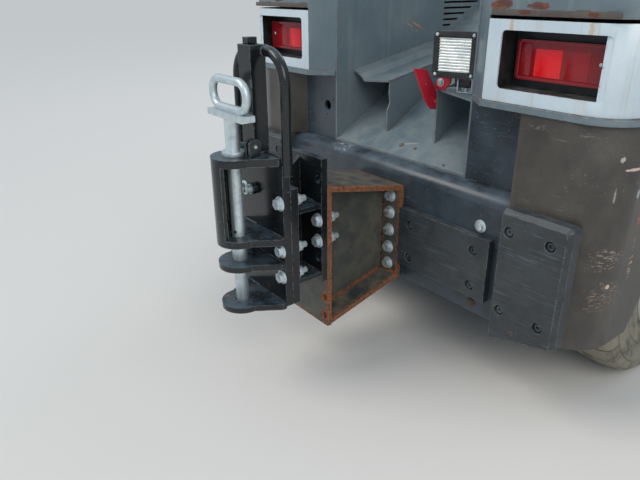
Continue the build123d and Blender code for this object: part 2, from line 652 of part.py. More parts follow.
def pod_plan(offset, forward):
    """Plan of one lamp pod: chamfer beside the chute, rear face, corner and side."""
    x1, y0 = HALF_WIDTH - offset, offset
    chute_x = CHUTE_HALF_WIDTH + CHUTE_SHEET + 0.5
    points = [(chute_x, CHUTE_LIP_Y + offset), (PANEL_INNER_X + offset * 0.5, y0), (x1, y0),
              (x1, forward), (chute_x, forward)]
    return outline(points, [(2, CORNER_RADIUS - offset)])


def rear_deck():
    """Deck plate with the chute's opening, upper side skins and the ledge under the lamps."""
    bottom = LEDGE_Z - LEDGE_THICKNESS
    pod = prism_z(pod_plan(0, CAB_REAR), bottom, DECK_HEIGHT)
    core_plan = pod_plan(SKIN, CAB_REAR + 1)
    chute_x = CHUTE_HALF_WIDTH + CHUTE_SHEET
    core = prism_z(core_plan, LEDGE_Z, DECK_HEIGHT - SKIN)
    pod -= core
    pod -= slab(chute_x - 5, chute_x + SKIN + 5, CHUTE_LIP_Y + 40, CAB_REAR + 1,
                LEDGE_Z, DECK_HEIGHT - SKIN)
    pod -= slab(0, HALF_WIDTH - 20, 260, CAB_REAR + 1, bottom - 1, LEDGE_Z)
    cut_panel = prism_z(pod_plan(0, PANEL_SIDE_LENGTH), LAMP_HEIGHT + PANEL_BOTTOM,
                        LAMP_HEIGHT + PANEL_TOP)
    cut_panel &= slab(PANEL_INNER_X, HALF_WIDTH + 1, -1, PANEL_SIDE_LENGTH,
                      LAMP_HEIGHT + PANEL_BOTTOM, LAMP_HEIGHT + PANEL_TOP)
    pod -= cut_panel
    lip = prism_z(pod_plan(-LEDGE_LIP, CAB_REAR), bottom, LEDGE_Z)
    lip -= prism_z(pod_plan(2, CAB_REAR + 1), bottom - 1, LEDGE_Z + 1)
    pod += lip
    lid_cut = slab(0, LID_HALF_WIDTH + DOOR_GAP, LID_REAR - DOOR_GAP, CAB_REAR + 1,
                   LEDGE_Z + 1, DECK_HEIGHT + 1)
    pod -= lid_cut
    deck = pod + mirrored(pod)
    bridge = slab(-chute_x - 1, chute_x + 1, CHUTE_END_Y + 16, LID_REAR - DOOR_GAP,
                  DECK_HEIGHT - SKIN, DECK_HEIGHT)
    return deck + bridge


def lamp_panels():
    """Pale panels round the lamps, wrapped round the corners."""
    z0, z1 = LAMP_HEIGHT + PANEL_BOTTOM + TRIM_GAP, LAMP_HEIGHT + PANEL_TOP - PANEL_SHADOW
    panel = corner_skin(SKIN - 1, PANEL_INNER_X + TRIM_GAP, PANEL_SIDE_LENGTH - TRIM_GAP, z0, z1)
    panel -= window_cut(WINDOW_INNER_X, WINDOW_OUTER_X, -1, SKIN + 1,
                        LAMP_HEIGHT - WINDOW_HALF_HEIGHT, LAMP_HEIGHT + WINDOW_HALF_HEIGHT,
                        WINDOW_RADIUS)
    return both_sides(panel)


def lamp_housings():
    """Open boxes behind the windows of the lamp panels."""
    y0, y1 = SKIN - 1, SKIN - 1 + HOUSING_DEPTH
    wall = 4.0
    z0, z1 = LAMP_HEIGHT - WINDOW_HALF_HEIGHT, LAMP_HEIGHT + WINDOW_HALF_HEIGHT
    box = slab(WINDOW_INNER_X - wall, WINDOW_OUTER_X + wall, y0, y1, z0 - wall, z1 + wall)
    box -= slab(WINDOW_INNER_X, WINDOW_OUTER_X, y0 - 1, y1 - wall, z0, z1)
    box &= prism_z(rear_plan(SKIN - 0.9, 0, 2 * HOUSING_DEPTH), z0 - wall, z1 + wall)
    return both_sides(box)


def rear_lamps():
    middle = (WINDOW_INNER_X + WINDOW_OUTER_X) / 2
    y1 = SKIN - 1 + HOUSING_DEPTH - 4.0
    lens = slab(middle - REAR_LAMP_WIDTH / 2, middle + REAR_LAMP_WIDTH / 2,
                y1 - REAR_LAMP_DEPTH, y1,
                LAMP_HEIGHT - REAR_LAMP_HEIGHT / 2, LAMP_HEIGHT + REAR_LAMP_HEIGHT / 2)
    lens = fillet(lens.edges().filter_by(Axis.Y), 8)
    return both_sides(lens)


def battery_lid():
    """Hinged deck plate over the battery, with turned-down edges."""
    lid = slab(-LID_HALF_WIDTH, LID_HALF_WIDTH, LID_REAR, LID_FRONT,
               DECK_HEIGHT - 30, DECK_HEIGHT)
    lid -= slab(-LID_HALF_WIDTH + SKIN, LID_HALF_WIDTH - SKIN, LID_REAR + SKIN,
                LID_FRONT - SKIN, DECK_HEIGHT - 31, DECK_HEIGHT - SKIN)
    for x in LID_HINGES:
        lid -= rod_x(x - 51, x + 51, LID_HINGE_Y, LID_HINGE_Z, LID_HINGE_RADIUS + 0.5)
        lid += slab(x - 29, x + 29, LID_FRONT - 14, LID_HINGE_Y - 3, DECK_HEIGHT - 5, DECK_HEIGHT)
        lid += lid_hinges(x)[0]
    return lid


def battery():
    return slab(-500, 500, LID_REAR - 5, LID_FRONT - 5, RAIL_TOP + FLOOR_PLATE, DECK_HEIGHT - 50)


# Hitch

def plate_y(y0, y1, z0, z1, half=HITCH_HALF_WIDTH):
    return slab(-half, half, y0, y1, z0, z1)


def hitch_bracket():
    """Bolted bracket: two end plates joined by a web, a top plate and a sloping bottom plate."""
    rear_y, front_y = -BRACKET_REACH, BEAM_FACE_Y
    t = BRACKET_PLATE
    body = plate_y(rear_y, rear_y + t, BRACKET_BOTTOM_REAR, BRACKET_TOP_REAR)
    body += plate_y(front_y - t, front_y, BRACKET_BOTTOM_FRONT, BRACKET_TOP_FRONT)
    top = outline([(rear_y, BRACKET_TOP_REAR), (front_y, BRACKET_TOP_FRONT),
                   (front_y, BRACKET_TOP_FRONT - t), (rear_y, BRACKET_TOP_REAR - t)])
    bottom = outline([(rear_y, BRACKET_BOTTOM_REAR), (front_y, BRACKET_BOTTOM_FRONT),
                      (front_y, BRACKET_BOTTOM_FRONT + t), (rear_y, BRACKET_BOTTOM_REAR + t)])
    web = outline([(rear_y, BRACKET_BOTTOM_REAR), (front_y, BRACKET_BOTTOM_FRONT),
                   (front_y, BRACKET_TOP_FRONT), (rear_y, BRACKET_TOP_REAR)])
    body += prism_x(top, -HITCH_HALF_WIDTH, HITCH_HALF_WIDTH)
    body += prism_x(bottom, -HITCH_HALF_WIDTH, HITCH_HALF_WIDTH)
    for _, side in SIDES:
        body += prism_x(web, side * (BRACKET_WEB_X - 6), side * (BRACKET_WEB_X + 6))
    for _, side in SIDES:
        for z in BRACKET_HOLES:
            body -= rod_y(side * BOLT_X, rear_y - 1, rear_y + t + 1, z, HOLE_RADIUS)
        for z in BEAM_BOLT_Z:
            body -= rod_y(side * BEAM_BOLT_X, front_y - t - 1, front_y + 1, z, HOLE_RADIUS)
    return body


def hitch_spacer():
    """Bolted spacer: two plates, two ribs, and a centre web whose top slopes as a gusset."""
    front_y = -BRACKET_REACH
    rear_y = front_y - SPACER_DEPTH
    body = plate_y(front_y - SPACER_PLATE, front_y, SPACER_BOTTOM, SPACER_TOP)
    body += plate_y(rear_y, rear_y + SPACER_REAR_PLATE, JAW_BOTTOM, SPACER_REAR_TOP)
    web = outline([(rear_y, SPACER_BOTTOM), (front_y, SPACER_BOTTOM), (front_y, SPACER_TOP - 12),
                   (front_y - SPACER_PLATE, SPACER_TOP - 12),
                   (rear_y + SPACER_REAR_PLATE, SPACER_REAR_TOP - 8), (rear_y, SPACER_REAR_TOP - 8)])
    body += prism_x(web, -SPACER_WEB / 2, SPACER_WEB / 2)
    for z in SPACER_RIBS:
        body += plate_y(rear_y, front_y, z, z + SPACER_RIB, HITCH_HALF_WIDTH - 5)
    for _, side in SIDES:
        for z in SPACER_BOLT_Z + SPACER_HOLE_Z:
            body -= rod_y(side * BOLT_X, front_y - SPACER_PLATE - 1, front_y + 1, z, HOLE_RADIUS)
        for z in JAW_BOLT_Z:
            body -= rod_y(side * BOLT_X, rear_y - 1, rear_y + SPACER_REAR_PLATE + 1, z,
                          HOLE_RADIUS)
    return body


def jaw_plan(y_back, inset=0.0):
    """Plan of a jaw plate: wide at the back plate, rounded at the nose."""
    half = HITCH_HALF_WIDTH - inset
    nose = NOSE_R - inset
    y_nose = -PIN_BACK
    wedge = make_face(Polyline((-half, y_back), (half, y_back), (half, y_back - 12),
                               (nose * 0.98, y_nose), (-nose * 0.98, y_nose),
                               (-half, y_back - 12), close=True))
    return wedge + Pos(0, y_nose) * Circle(nose)


def forked_lug():
    """Two upright ears with a pin hole, on the top plate beside the mast."""
    width, depth, height = CLAMP_EAR
    lug = None
    for _, side in SIDES:
        x = CLAMP_X + side * CLAMP_PITCH / 2
        ear = slab(x - width / 2, x + width / 2, -CLAMP_BACK - depth / 2, -CLAMP_BACK + depth / 2,
                   JAW_TOP - 1, JAW_TOP + height)
        top_edges = ear.edges().filter_by(Axis.X).group_by(Axis.Z)[-1]
        ear = chamfer(top_edges, depth / 4)
        ear -= rod_x(x - width, x + width, -CLAMP_BACK, JAW_TOP + height * 0.62, CLAMP_HOLE)
        lug = ear if lug is None else lug + ear
    return lug


def hoop():
    """Round bars from the top of the mast down to the edges of the back plate."""
    leg_x = HITCH_HALF_WIDTH + HOOP_RADIUS / 2
    leg_y = -BRACKET_REACH - SPACER_DEPTH - HOOP_RADIUS + 2
    top_z = MAST_TOP - HOOP_RADIUS - 2
    bars = None
    for _, side in SIDES:
        start = (side * (MAST_WIDTH / 2 - 4), leg_y, top_z)
        path = FilletPolyline(start, (side * leg_x, leg_y, top_z),
                              (side * leg_x, leg_y, JAW_TOP - HOOP_END), radius=HOOP_BEND)
        ring = Plane(origin=start, z_dir=(side, 0, 0)) * Circle(HOOP_RADIUS)
        rod = sweep(ring, path=path)
        bars = rod if bars is None else bars + rod
    return bars


def hitch_jaw():
    """Four jaw plates on a back plate, nose guard, mast, hoop bars, forked lug and stop."""
    y_front = -BRACKET_REACH - SPACER_DEPTH
    y_back = y_front - JAW_PLATE
    body = plate_y(y_back, y_front, JAW_BOTTOM, JAW_TOP)
    for top, thickness in JAW_LEVELS:
        body += prism_z(jaw_plan(y_back + 1), top - thickness, top)
    upper, lower = JAW_LEVELS[0], JAW_LEVELS[1]
    z1, z0 = upper[0] - upper[1], lower[0]
    guard = prism_z(jaw_plan(y_back + 1), z0 - 1, z1 + 1)
    guard -= prism_z(jaw_plan(y_back + 2, GUARD_WALL), z0 - 2, z1 + 2)
    guard &= slab(-HITCH_HALF_WIDTH - 1, GUARD_END, -HITCH_REACH - 1, -PIN_BACK + 20,
                  z0 - 1, z1 + 1)
    body += guard
    mast_y = -MAST_BACK
    mast = slab(-MAST_WIDTH / 2, MAST_WIDTH / 2, mast_y, mast_y + MAST_DEPTH, JAW_TOP - 1, MAST_TOP)
    mast -= slab(-MAST_WIDTH / 2 + MAST_WALL, MAST_WIDTH / 2 - MAST_WALL, mast_y + MAST_WALL,
                 mast_y + MAST_DEPTH - MAST_WALL, JAW_TOP, MAST_TOP + 1)
    cap_width, cap_depth, cap_height = MAST_CAP
    mast += slab(-MAST_WIDTH / 2, cap_width - MAST_WIDTH / 2, mast_y + MAST_DEPTH - cap_depth,
                 mast_y + MAST_DEPTH, MAST_TOP - cap_height, MAST_TOP + cap_height)
    body += mast
    body += forked_lug()
    body += hoop()
    body += rod_y(STOP_X, y_back - 14, y_back + 1, STOP_Z, 17)
    for top, thickness in JAW_LEVELS:
        body -= rod_z(0, -PIN_BACK, top - thickness - 1, top + 1, PIN_HOLE)
    for _, side in SIDES:
        for z in JAW_BOLT_Z:
            body -= rod_y(side * BOLT_X, y_back - 1, y_front + 1, z, HOLE_RADIUS)
    return body


def hitch_pin():
    """Drawbar pin with sleeve, collar, cross bar and oval loop handle."""
    bottom = JAW_LEVELS[3][0] - JAW_LEVELS[3][1] - 8
    y = -PIN_BACK
    pin = rod_z(0, y, bottom, PIN_BAR_Z, PIN_RADIUS)
    pin += rod_z(0, y, JAW_LEVELS[2][0] + TRIM_GAP, JAW_LEVELS[1][0] - JAW_LEVELS[1][1], PIN_SLEEVE)
    pin += rod_z(0, y, JAW_TOP + TRIM_GAP, JAW_TOP + PIN_COLLAR, PIN_COLLAR_RADIUS)
    width, depth, height = PIN_BAR
    pin += slab(-width / 2, width / 2, y - depth / 2, y + depth / 2,
                PIN_BAR_Z - 1, PIN_BAR_Z + height)
    half_x = LOOP_WIDTH / 2 - LOOP_ROD
    z0 = PIN_BAR_Z + height + LOOP_ROD - 3
    z1 = z0 + LOOP_HEIGHT - 2 * LOOP_ROD
    path = FilletPolyline((half_x, y, z0), (half_x, y, z1), (-half_x, y, z1),
                          (-half_x, y, z0), close=True, radius=(z1 - z0) / 2 - 0.5)
    ring = Plane(origin=path @ 0, z_dir=path % 0) * Circle(LOOP_ROD)
    loop = sweep(ring, path=path)
    return pin + loop


def bolt(x, y, z):
    """Flange bolt head standing rearwards from the plate whose rear face is at y."""
    head = extrude(Plane(origin=(x, y - 4, z), x_dir=(1, 0, 0), z_dir=(0, -1, 0))
                   * RegularPolygon(BOLT_RADIUS * 1.12, 6), BOLT_HEAD)
    return head + rod_y(x, y - 5, y, z, BOLT_FLANGE_RADIUS) + rod_y(x, y - 1, y + BOLT_SHANK,
                                                                    z, HOLE_RADIUS - 0.5)


def hitch_bolts():
    """Bolt heads on the jaw, the spacer and the bracket."""
    jaw_y = -BRACKET_REACH - SPACER_DEPTH - JAW_PLATE
    bolts = []
    for _, side in SIDES:
        bolts += [bolt(side * BOLT_X, jaw_y, z) for z in JAW_BOLT_Z]
        bolts += [bolt(side * BOLT_X, -BRACKET_REACH - SPACER_PLATE, z) for z in SPACER_BOLT_Z]
        bolts += [bolt(side * BEAM_BOLT_X, BEAM_FACE_Y - BRACKET_PLATE, z) for z in BEAM_BOLT_Z]
    return Compound(children=bolts)


def bump_pads():
    """Rubbing plates on the beam and on the corner bodies, their bolts let in."""
    beam_face = BEAM_FACE_Y - BEAM_PAD_DEPTH
    beam_pad = prism_y(outline(BEAM_PAD, [(2, 6), (3, 6)]), beam_face, BEAM_FACE_Y)
    for x, z in BEAM_PAD_BOLTS:
        beam_pad -= rod_y(x, beam_face - 1, beam_face + PAD_BORE_DEPTH, z, PAD_BORE)
    corner_pad = prism_y(outline(CORNER_PAD, [(2, CORNER_PAD_ROUND)]), -CORNER_PAD_DEPTH, 0)
    front = corner_pad.faces().sort_by(Axis.Y)[0]
    top_edge = front.edges().filter_by(Axis.X).sort_by(Axis.Z)[-1]
    corner_pad = chamfer(top_edge, CORNER_PAD_BEVEL)
    for x, z in CORNER_PAD_BOLTS:
        corner_pad -= rod_y(x, -CORNER_PAD_DEPTH - 1, PAD_BORE_DEPTH - CORNER_PAD_DEPTH, z,
                            PAD_BORE)
    return both_sides(Compound(children=[beam_pad, corner_pad]))


def work_lamp():
    """Square lamp turned to the right: bezel, tapered housing and its foot on the shelf."""
    x, y, z = WORK_LAMP
    half = WORK_LAMP_SIZE / 2
    bezel = slab(-half, half, 0, WORK_LAMP_RIM, -half, half)
    bezel = fillet(bezel.edges().filter_by(Axis.Y), WORK_LAMP_ROUND)
    wide = Plane(origin=(0, WORK_LAMP_RIM - 1, 0), x_dir=(1, 0, 0), z_dir=(0, 1, 0))
    back = Plane(origin=(0, WORK_LAMP_DEPTH, 0), x_dir=(1, 0, 0), z_dir=(0, 1, 0))
    side = 2 * half - 12
    housing = loft([wide * RectangleRounded(side, side, WORK_LAMP_ROUND),
                    back * RectangleRounded(2 * WORK_LAMP_BACK, 2 * WORK_LAMP_BACK,
                                            WORK_LAMP_ROUND)])
    foot = slab(*WORK_LAMP_FOOT, WORK_LAMP_RIM + 6, WORK_LAMP_RIM + 36,
                RIB_TOP + RIB_SHEET - z + 0.2, 20 - half)
    lamp = bezel + housing + foot
    return Pos(x, y, z) * Rot(0, 0, WORK_LAMP_TURN) * lamp


def release_lever():
    """Flat lever in the chute beside the right rib, and the stop tab beside the lamp."""
    lever = prism_x(outline(LEVER_SHAPE), RIB_RIGHT_X - 15, RIB_RIGHT_X - 9)
    hole_y, hole_z = LEVER_HOLE
    lever -= rod_x(RIB_RIGHT_X - 16, RIB_RIGHT_X - 8, hole_y, hole_z, 3)
    lever += rod_x(RIB_RIGHT_X - 20, RIB_RIGHT_X - 3, RIB_Y + 6, RIB_TOP - 34, 9)
    shelf_top = RIB_TOP + RIB_SHEET
    tab = prism_y(outline([(x, shelf_top + z) for x, z in TAB_SHAPE]), TAB_Y, TAB_Y + 6)
    return Compound(children=[*solids_of(lever), *solids_of(tab)])


# Cab and front bodywork

def arch_cut(side):
    """Cylinder that opens the front arch in the skin of one side."""
    radius = AXLE_HEIGHT + STEER_ARCH_GAP
    return rod_x(side * (HALF_WIDTH - 160), side * (HALF_WIDTH + 1), FRONT_AXLE_Y, AXLE_HEIGHT,
                 radius)


def front_body():
    """Nose, sides with wheel arches, wheel housings, firewall and bonnet."""
    def plan(offset, rear):
        x1, y1 = HALF_WIDTH - offset, NOSE_Y - offset
        points = [(-x1, rear), (x1, rear), (x1, y1), (-x1, y1)]
        return outline(points, [(2, NOSE_RADIUS - offset), (3, NOSE_RADIUS - offset)])

    def profile(offset, rear):
        return outline([(rear, 0), (NOSE_Y, 0), (NOSE_Y, NOSE_HEIGHT - offset),
                        (COWL_Y, COWL_HEIGHT - offset), (rear, COWL_HEIGHT - offset)])

    wide = HALF_WIDTH + 1
    outer = prism_z(plan(0, FRONT_BODY_REAR), SKIRT_HEIGHT, COWL_HEIGHT)
    outer &= prism_x(profile(0, FRONT_BODY_REAR), -wide, wide)
    inner = prism_z(plan(SKIN, FRONT_BODY_REAR - 1), SKIRT_HEIGHT - 1, COWL_HEIGHT)
    inner &= prism_x(profile(SKIN, FRONT_BODY_REAR - 1), -wide, wide)
    body = outer - inner
    body -= slab(-CAB_HALF_WIDTH + POST, CAB_HALF_WIDTH - POST, FRONT_BODY_REAR - 1, FIREWALL_Y,
                 COWL_HEIGHT - SKIN - 1, COWL_HEIGHT + 1)
    for _, side in SIDES:
        body += slab(side * FOOTWELL_HALF_WIDTH, side * (CAB_HALF_WIDTH - POST - 0.5), DOOR_FRONT - 10,
                     FIREWALL_Y, WHEELHOUSE_TOP - SKIN, WHEELHOUSE_TOP)
        body += slab(side * FOOTWELL_HALF_WIDTH, side * (HALF_WIDTH - 1), FRONT_BODY_REAR,
                     NOSE_Y - NOSE_RADIUS, WHEELHOUSE_TOP - SKIN, WHEELHOUSE_TOP)
        body += slab(side * FOOTWELL_HALF_WIDTH, side * (FOOTWELL_HALF_WIDTH + SKIN),
                     DOOR_FRONT - 10, FIREWALL_Y, RAIL_TOP + FLOOR_PLATE, WHEELHOUSE_TOP)
        body += slab(side * FOOTWELL_HALF_WIDTH, side * (CAB_HALF_WIDTH - POST - 0.5),
                     DOOR_FRONT - 10, DOOR_FRONT - 10 + SKIN,
                     RAIL_TOP + FLOOR_PLATE, WHEELHOUSE_TOP)
    body += slab(-HALF_WIDTH + SKIN - 1, HALF_WIDTH - SKIN + 1, FIREWALL_Y, FIREWALL_Y + SKIN,
                 WHEELHOUSE_TOP - 1, COWL_HEIGHT - 1)
    body += slab(-FOOTWELL_HALF_WIDTH - SKIN, FOOTWELL_HALF_WIDTH + SKIN,
                 FIREWALL_Y, FIREWALL_Y + SKIN, RAIL_TOP + FLOOR_PLATE, WHEELHOUSE_TOP)
    for _, side in SIDES:
        body -= arch_cut(side)
        body -= rod_y(side * HEADLAMP_X, NOSE_Y - 60, NOSE_Y + 1, HEADLAMP_Z,
                      HEADLAMP_RADIUS + TRIM_GAP)
    for number in range(4):
        z = 640 + number * 45
        body -= window_cut(-300, 300, NOSE_Y - 60, NOSE_Y + 1, z, z + 20, 9)
    body -= slab(-wide, wide, DOOR_FRONT - 20, FRONT_BODY_REAR, COWL_HEIGHT - SKIN,
                 COWL_HEIGHT + 1)
    return body


def front_bumper():
    """Heavy bar with a coupling pocket let into its middle, and the holes for its pin."""
    half = BUMPER_HALF_WIDTH
    bar = prism_z(outline([(-half, NOSE_Y), (-half, BODY_LENGTH), (half, BODY_LENGTH), (half, NOSE_Y)],
                          [(1, BUMPER_ROUND), (2, BUMPER_ROUND)]), BUMPER_BOTTOM, BUMPER_TOP)
    width, depth, height = COUPLING_POCKET
    middle = (BUMPER_BOTTOM + BUMPER_TOP) / 2
    bar -= slab(-width / 2, width / 2, BODY_LENGTH - depth, BODY_LENGTH + 1,
                middle - height / 2, middle + height / 2)
    bar -= rod_z(0, BODY_LENGTH - depth / 2, BUMPER_BOTTOM - 1, BUMPER_TOP + 1, COUPLING_HOLE)
    return bar


def headlamps():
    lamp = rod_y(HEADLAMP_X, NOSE_Y - 50, NOSE_Y + 8, HEADLAMP_Z, HEADLAMP_RADIUS)
    return both_sides(lamp)


def cab_shell():
    """Rear wall, posts, rails, side skirts with steps, and hinge lugs."""
    half = CAB_HALF_WIDTH
    floor = RAIL_TOP + FLOOR_PLATE
    wall = slab(-half, half, CAB_REAR, CAB_REAR + POST - 10, floor, EAVES)
    wall -= window_cut(-REAR_WINDOW_HALF, REAR_WINDOW_HALF, CAB_REAR - 1, CAB_REAR + POST,
                       REAR_WINDOW_Z0, REAR_WINDOW_Z1, 50)
    shell = wall
    a_post = outline([(COWL_Y - 60, COWL_HEIGHT), (COWL_Y - 5, COWL_HEIGHT),
                      (SCREEN_TOP_Y + 40, EAVES), (SCREEN_TOP_Y - 15, EAVES)])
    shell += slab(-half, half, SCREEN_TOP_Y - 40, SCREEN_TOP_Y + 40, EAVES - POST, EAVES)
    for _, side in SIDES:
        x0, x1 = side * (half - POST), side * half
        shell += slab(x0, x1, CAB_REAR, DOOR_REAR - DOOR_GAP, floor, EAVES)
        shell += slab(x0, x1, DOOR_FRONT + DOOR_GAP, DOOR_FRONT + DOOR_GAP + POST - 5, floor, EAVES)
        shell += slab(x0, x1, CAB_REAR, SCREEN_TOP_Y, EAVES - POST, EAVES)
        shell += prism_x(a_post, x0, x1)
        shell += slab(x0, side * HALF_WIDTH, CAB_REAR, DOOR_FRONT + POST, floor - 12, floor)
        skirt = slab(side * (HALF_WIDTH - SKIN), side * HALF_WIDTH, CAB_REAR + 1,
                     FRONT_BODY_REAR - 25, SKIRT_HEIGHT, floor - 1)
        shell += skirt
        step_y = DOOR_REAR + STEP_SETBACK
        step = slab(side * (HALF_WIDTH - STEP_DEPTH), side * HALF_WIDTH, step_y,
                    step_y + STEP_LENGTH, STEP_BOTTOM, STEP_TOP)
        hollow = slab(side * (HALF_WIDTH - STEP_DEPTH + STEP_SHEET), side * (HALF_WIDTH + 1),
                      step_y + STEP_SHEET, step_y + STEP_LENGTH - STEP_SHEET,
                      STEP_BOTTOM + STEP_SHEET, STEP_TOP - STEP_SHEET)
        shell += step
        shell -= hollow
        shell -= rod_x(side * (HALF_WIDTH - 50), side * (HALF_WIDTH + 1), FRONT_AXLE_Y, AXLE_HEIGHT,
                       AXLE_HEIGHT + STEER_ARCH_GAP)
        for z in HINGE_HEIGHTS:
            shell += door_hinges(side, z)[1]
    for x in LID_HINGES:
        shell += lid_hinges(x)[1]
    return shell


def cab_roof():
    roof = slab(-CAB_HALF_WIDTH - 15, CAB_HALF_WIDTH + 15, CAB_REAR - 15, SCREEN_TOP_Y + 90,
                EAVES, ROOF_HEIGHT)
    roof = fillet(roof.edges().filter_by(Axis.Z), 60)
    return fillet(roof.edges().group_by(Axis.Z)[-1], 25)


def cab_glass():
    """Windscreen, rear window and the fixed panes beside the windscreen."""
    half = CAB_HALF_WIDTH - POST - 0.5
    screen = outline([(COWL_Y - 30, COWL_HEIGHT + 1), (COWL_Y - 30 + GLASS, COWL_HEIGHT + 1),
                      (SCREEN_TOP_Y + 12 + GLASS, EAVES - POST - 1),
                      (SCREEN_TOP_Y + 12, EAVES - POST - 1)])
    panes = [prism_x(screen, -half, half)]
    rear = window_cut(-REAR_WINDOW_HALF + 0.2, REAR_WINDOW_HALF - 0.2, CAB_REAR + 17,
                      CAB_REAR + 17 + GLASS, REAR_WINDOW_Z0 + 0.2, REAR_WINDOW_Z1 - 0.2, 50)
    panes.append(rear)
    slope = (COWL_Y - SCREEN_TOP_Y - 45) / (EAVES - COWL_HEIGHT)
    y0 = DOOR_FRONT + DOOR_GAP + POST - 4.5
    z0, z1 = COWL_HEIGHT + 0.5, EAVES - POST - 0.5
    quarter = outline([(y0, z0), (COWL_Y - 61, z0), (COWL_Y - 61 - slope * (z1 - z0), z1),
                       (y0, z1)])
    for _, side in SIDES:
        middle = side * (CAB_HALF_WIDTH - POST / 2)
        panes.append(prism_x(quarter, middle - GLASS / 2, middle + GLASS / 2))
    return Compound(children=panes)


def door_hinges(side, z):
    """Barrel of one door hinge, and the fixed lugs above and below it with their pin."""
    x, y = side * HINGE_X, HINGE_Y
    barrel = rod_z(x, y, z, z + HINGE_LENGTH, HINGE_RADIUS)
    barrel += slab(side * (CAB_HALF_WIDTH - 3), x, y - 40, y, z, z + HINGE_LENGTH)
    barrel -= rod_z(x, y, z - 1, z + HINGE_LENGTH + 1, HINGE_PIN + RUNNING)
    lugs = rod_z(x, y, z - 20, z + HINGE_LENGTH + 20, HINGE_PIN)
    for z0 in (z - 20, z + HINGE_LENGTH + TRIM_GAP):
        z1 = z0 + 20 - TRIM_GAP
        lugs += rod_z(x, y, z0, z1, HINGE_RADIUS)
        lugs += slab(side * (CAB_HALF_WIDTH - 1), x, y + DOOR_GAP / 2, y + 30, z0, z1)
    return barrel, lugs


def lid_hinges(x):
    """Barrel of one lid hinge, and the fixed lugs beside it with their pin."""
    y, z = LID_HINGE_Y, LID_HINGE_Z
    barrel = rod_x(x - 30, x + 30, y, z, LID_HINGE_RADIUS)
    barrel -= rod_x(x - 31, x + 31, y, z, LID_HINGE_PIN + RUNNING)
    lugs = rod_x(x - 50, x + 50, y, z, LID_HINGE_PIN)
    for x0 in (x - 50, x + 30 + TRIM_GAP):
        x1 = x0 + 20 - TRIM_GAP
        lugs += rod_x(x0, x1, y, z, LID_HINGE_RADIUS)
        lugs += slab(x0, x1, y, CAB_REAR + 1, z - 3, z + LID_HINGE_RADIUS)
    return barrel, lugs


def door(side):
    """Framed door with its window opening."""
    outer = CAB_HALF_WIDTH - 2
    z0, z1 = RAIL_TOP + FLOOR_PLATE + DOOR_GAP + 1, EAVES - POST - DOOR_GAP
    leaf = slab(side * outer, side * (outer - DOOR_THICKNESS), DOOR_REAR, DOOR_FRONT, z0, z1)
    leaf -= side_cut(side * (outer + 1), side * (outer - DOOR_THICKNESS - 1), DOOR_REAR + 60,
                     DOOR_FRONT - 60, DOOR_BELT, z1 - 60, 40)
    for z in HINGE_HEIGHTS:
        leaf += door_hinges(side, z)[0]
    return leaf


def door_glass(side):
    outer = CAB_HALF_WIDTH - 2
    z1 = EAVES - POST - DOOR_GAP
    middle = side * (outer - DOOR_THICKNESS / 2)
    return side_cut(middle - GLASS / 2, middle + GLASS / 2, DOOR_REAR + 60.2, DOOR_FRONT - 60.2,
                    DOOR_BELT + 0.2, z1 - 60.2, 40)


def seat():
    """Pedestal, cushion and backrest."""
    floor = RAIL_TOP + FLOOR_PLATE
    y = CAB_REAR + SEAT_REAR
    base = slab(-SEAT_BASE_HALF, SEAT_BASE_HALF, y + 10, y + 10 + SEAT_BASE_LENGTH,
                floor, floor + SEAT_BASE_HEIGHT)
    cushion = slab(-CUSHION_HALF, CUSHION_HALF, y, y + CUSHION_LENGTH,
                   floor + SEAT_BASE_HEIGHT - 1, floor + CUSHION_TOP)
    cushion = fillet(cushion.edges(), CUSHION_ROUND)
    back = outline([(y, floor + BACK_FOOT), (y + BACK_DEPTH, floor + BACK_FOOT),
                    (y + 60, floor + BACK_TOP), (y - BACK_LEAN, floor + BACK_TOP)])
    back = prism_x(back, -BACK_HALF, BACK_HALF)
    back = fillet(back.edges(), BACK_ROUND)
    return base + cushion + back


def dash():
    """Dash panel, steering column and pedals."""
    top = COWL_HEIGHT - DASH_BELOW_COWL
    bottom, lip = top - DASH_HEIGHT, FIREWALL_Y - DASH_EDGE
    panel = outline([(lip, bottom), (FIREWALL_Y - DASH_DEPTH, top - 100), (lip, top),
                     (FIREWALL_Y, top), (FIREWALL_Y, bottom)])
    body = prism_x(panel, -CAB_HALF_WIDTH + POST + 1, CAB_HALF_WIDTH - POST - 1)
    start, end = (column_point(reach) for reach in COLUMN_REACH)
    direction = Vector(*end) - Vector(*start)
    column = extrude(Plane(origin=start, z_dir=direction) * Circle(COLUMN_RADIUS), direction.length)
    column &= slab(-100, 100, DOOR_FRONT - 10, FIREWALL_Y, RAIL_TOP, EAVES)
    pieces = [body, column]
    arm_half, arm_lower, arm_upper = PEDAL_ARM
    for x in PEDALS_X:
        y, z = FIREWALL_Y - PEDAL_REACH, RAIL_TOP + PEDAL_RISE
        pedal = slab(x - PEDAL_HALF, x + PEDAL_HALF, y, y + PEDAL_PLATE, z, z + PEDAL_HEIGHT)
        pedal += slab(x - arm_half, x + arm_half, y + PEDAL_PLATE - 1, FIREWALL_Y,
                      z + arm_lower, z + arm_upper)
        pieces.append(pedal)
    return Compound(children=pieces)


def column_point(distance):
    """Point on the steering column, measured down from the wheel's centre."""
    return (0, WHEEL_CENTRE_Y + distance * SIN_TILT, WHEEL_CENTRE_Z - distance * COS_TILT)


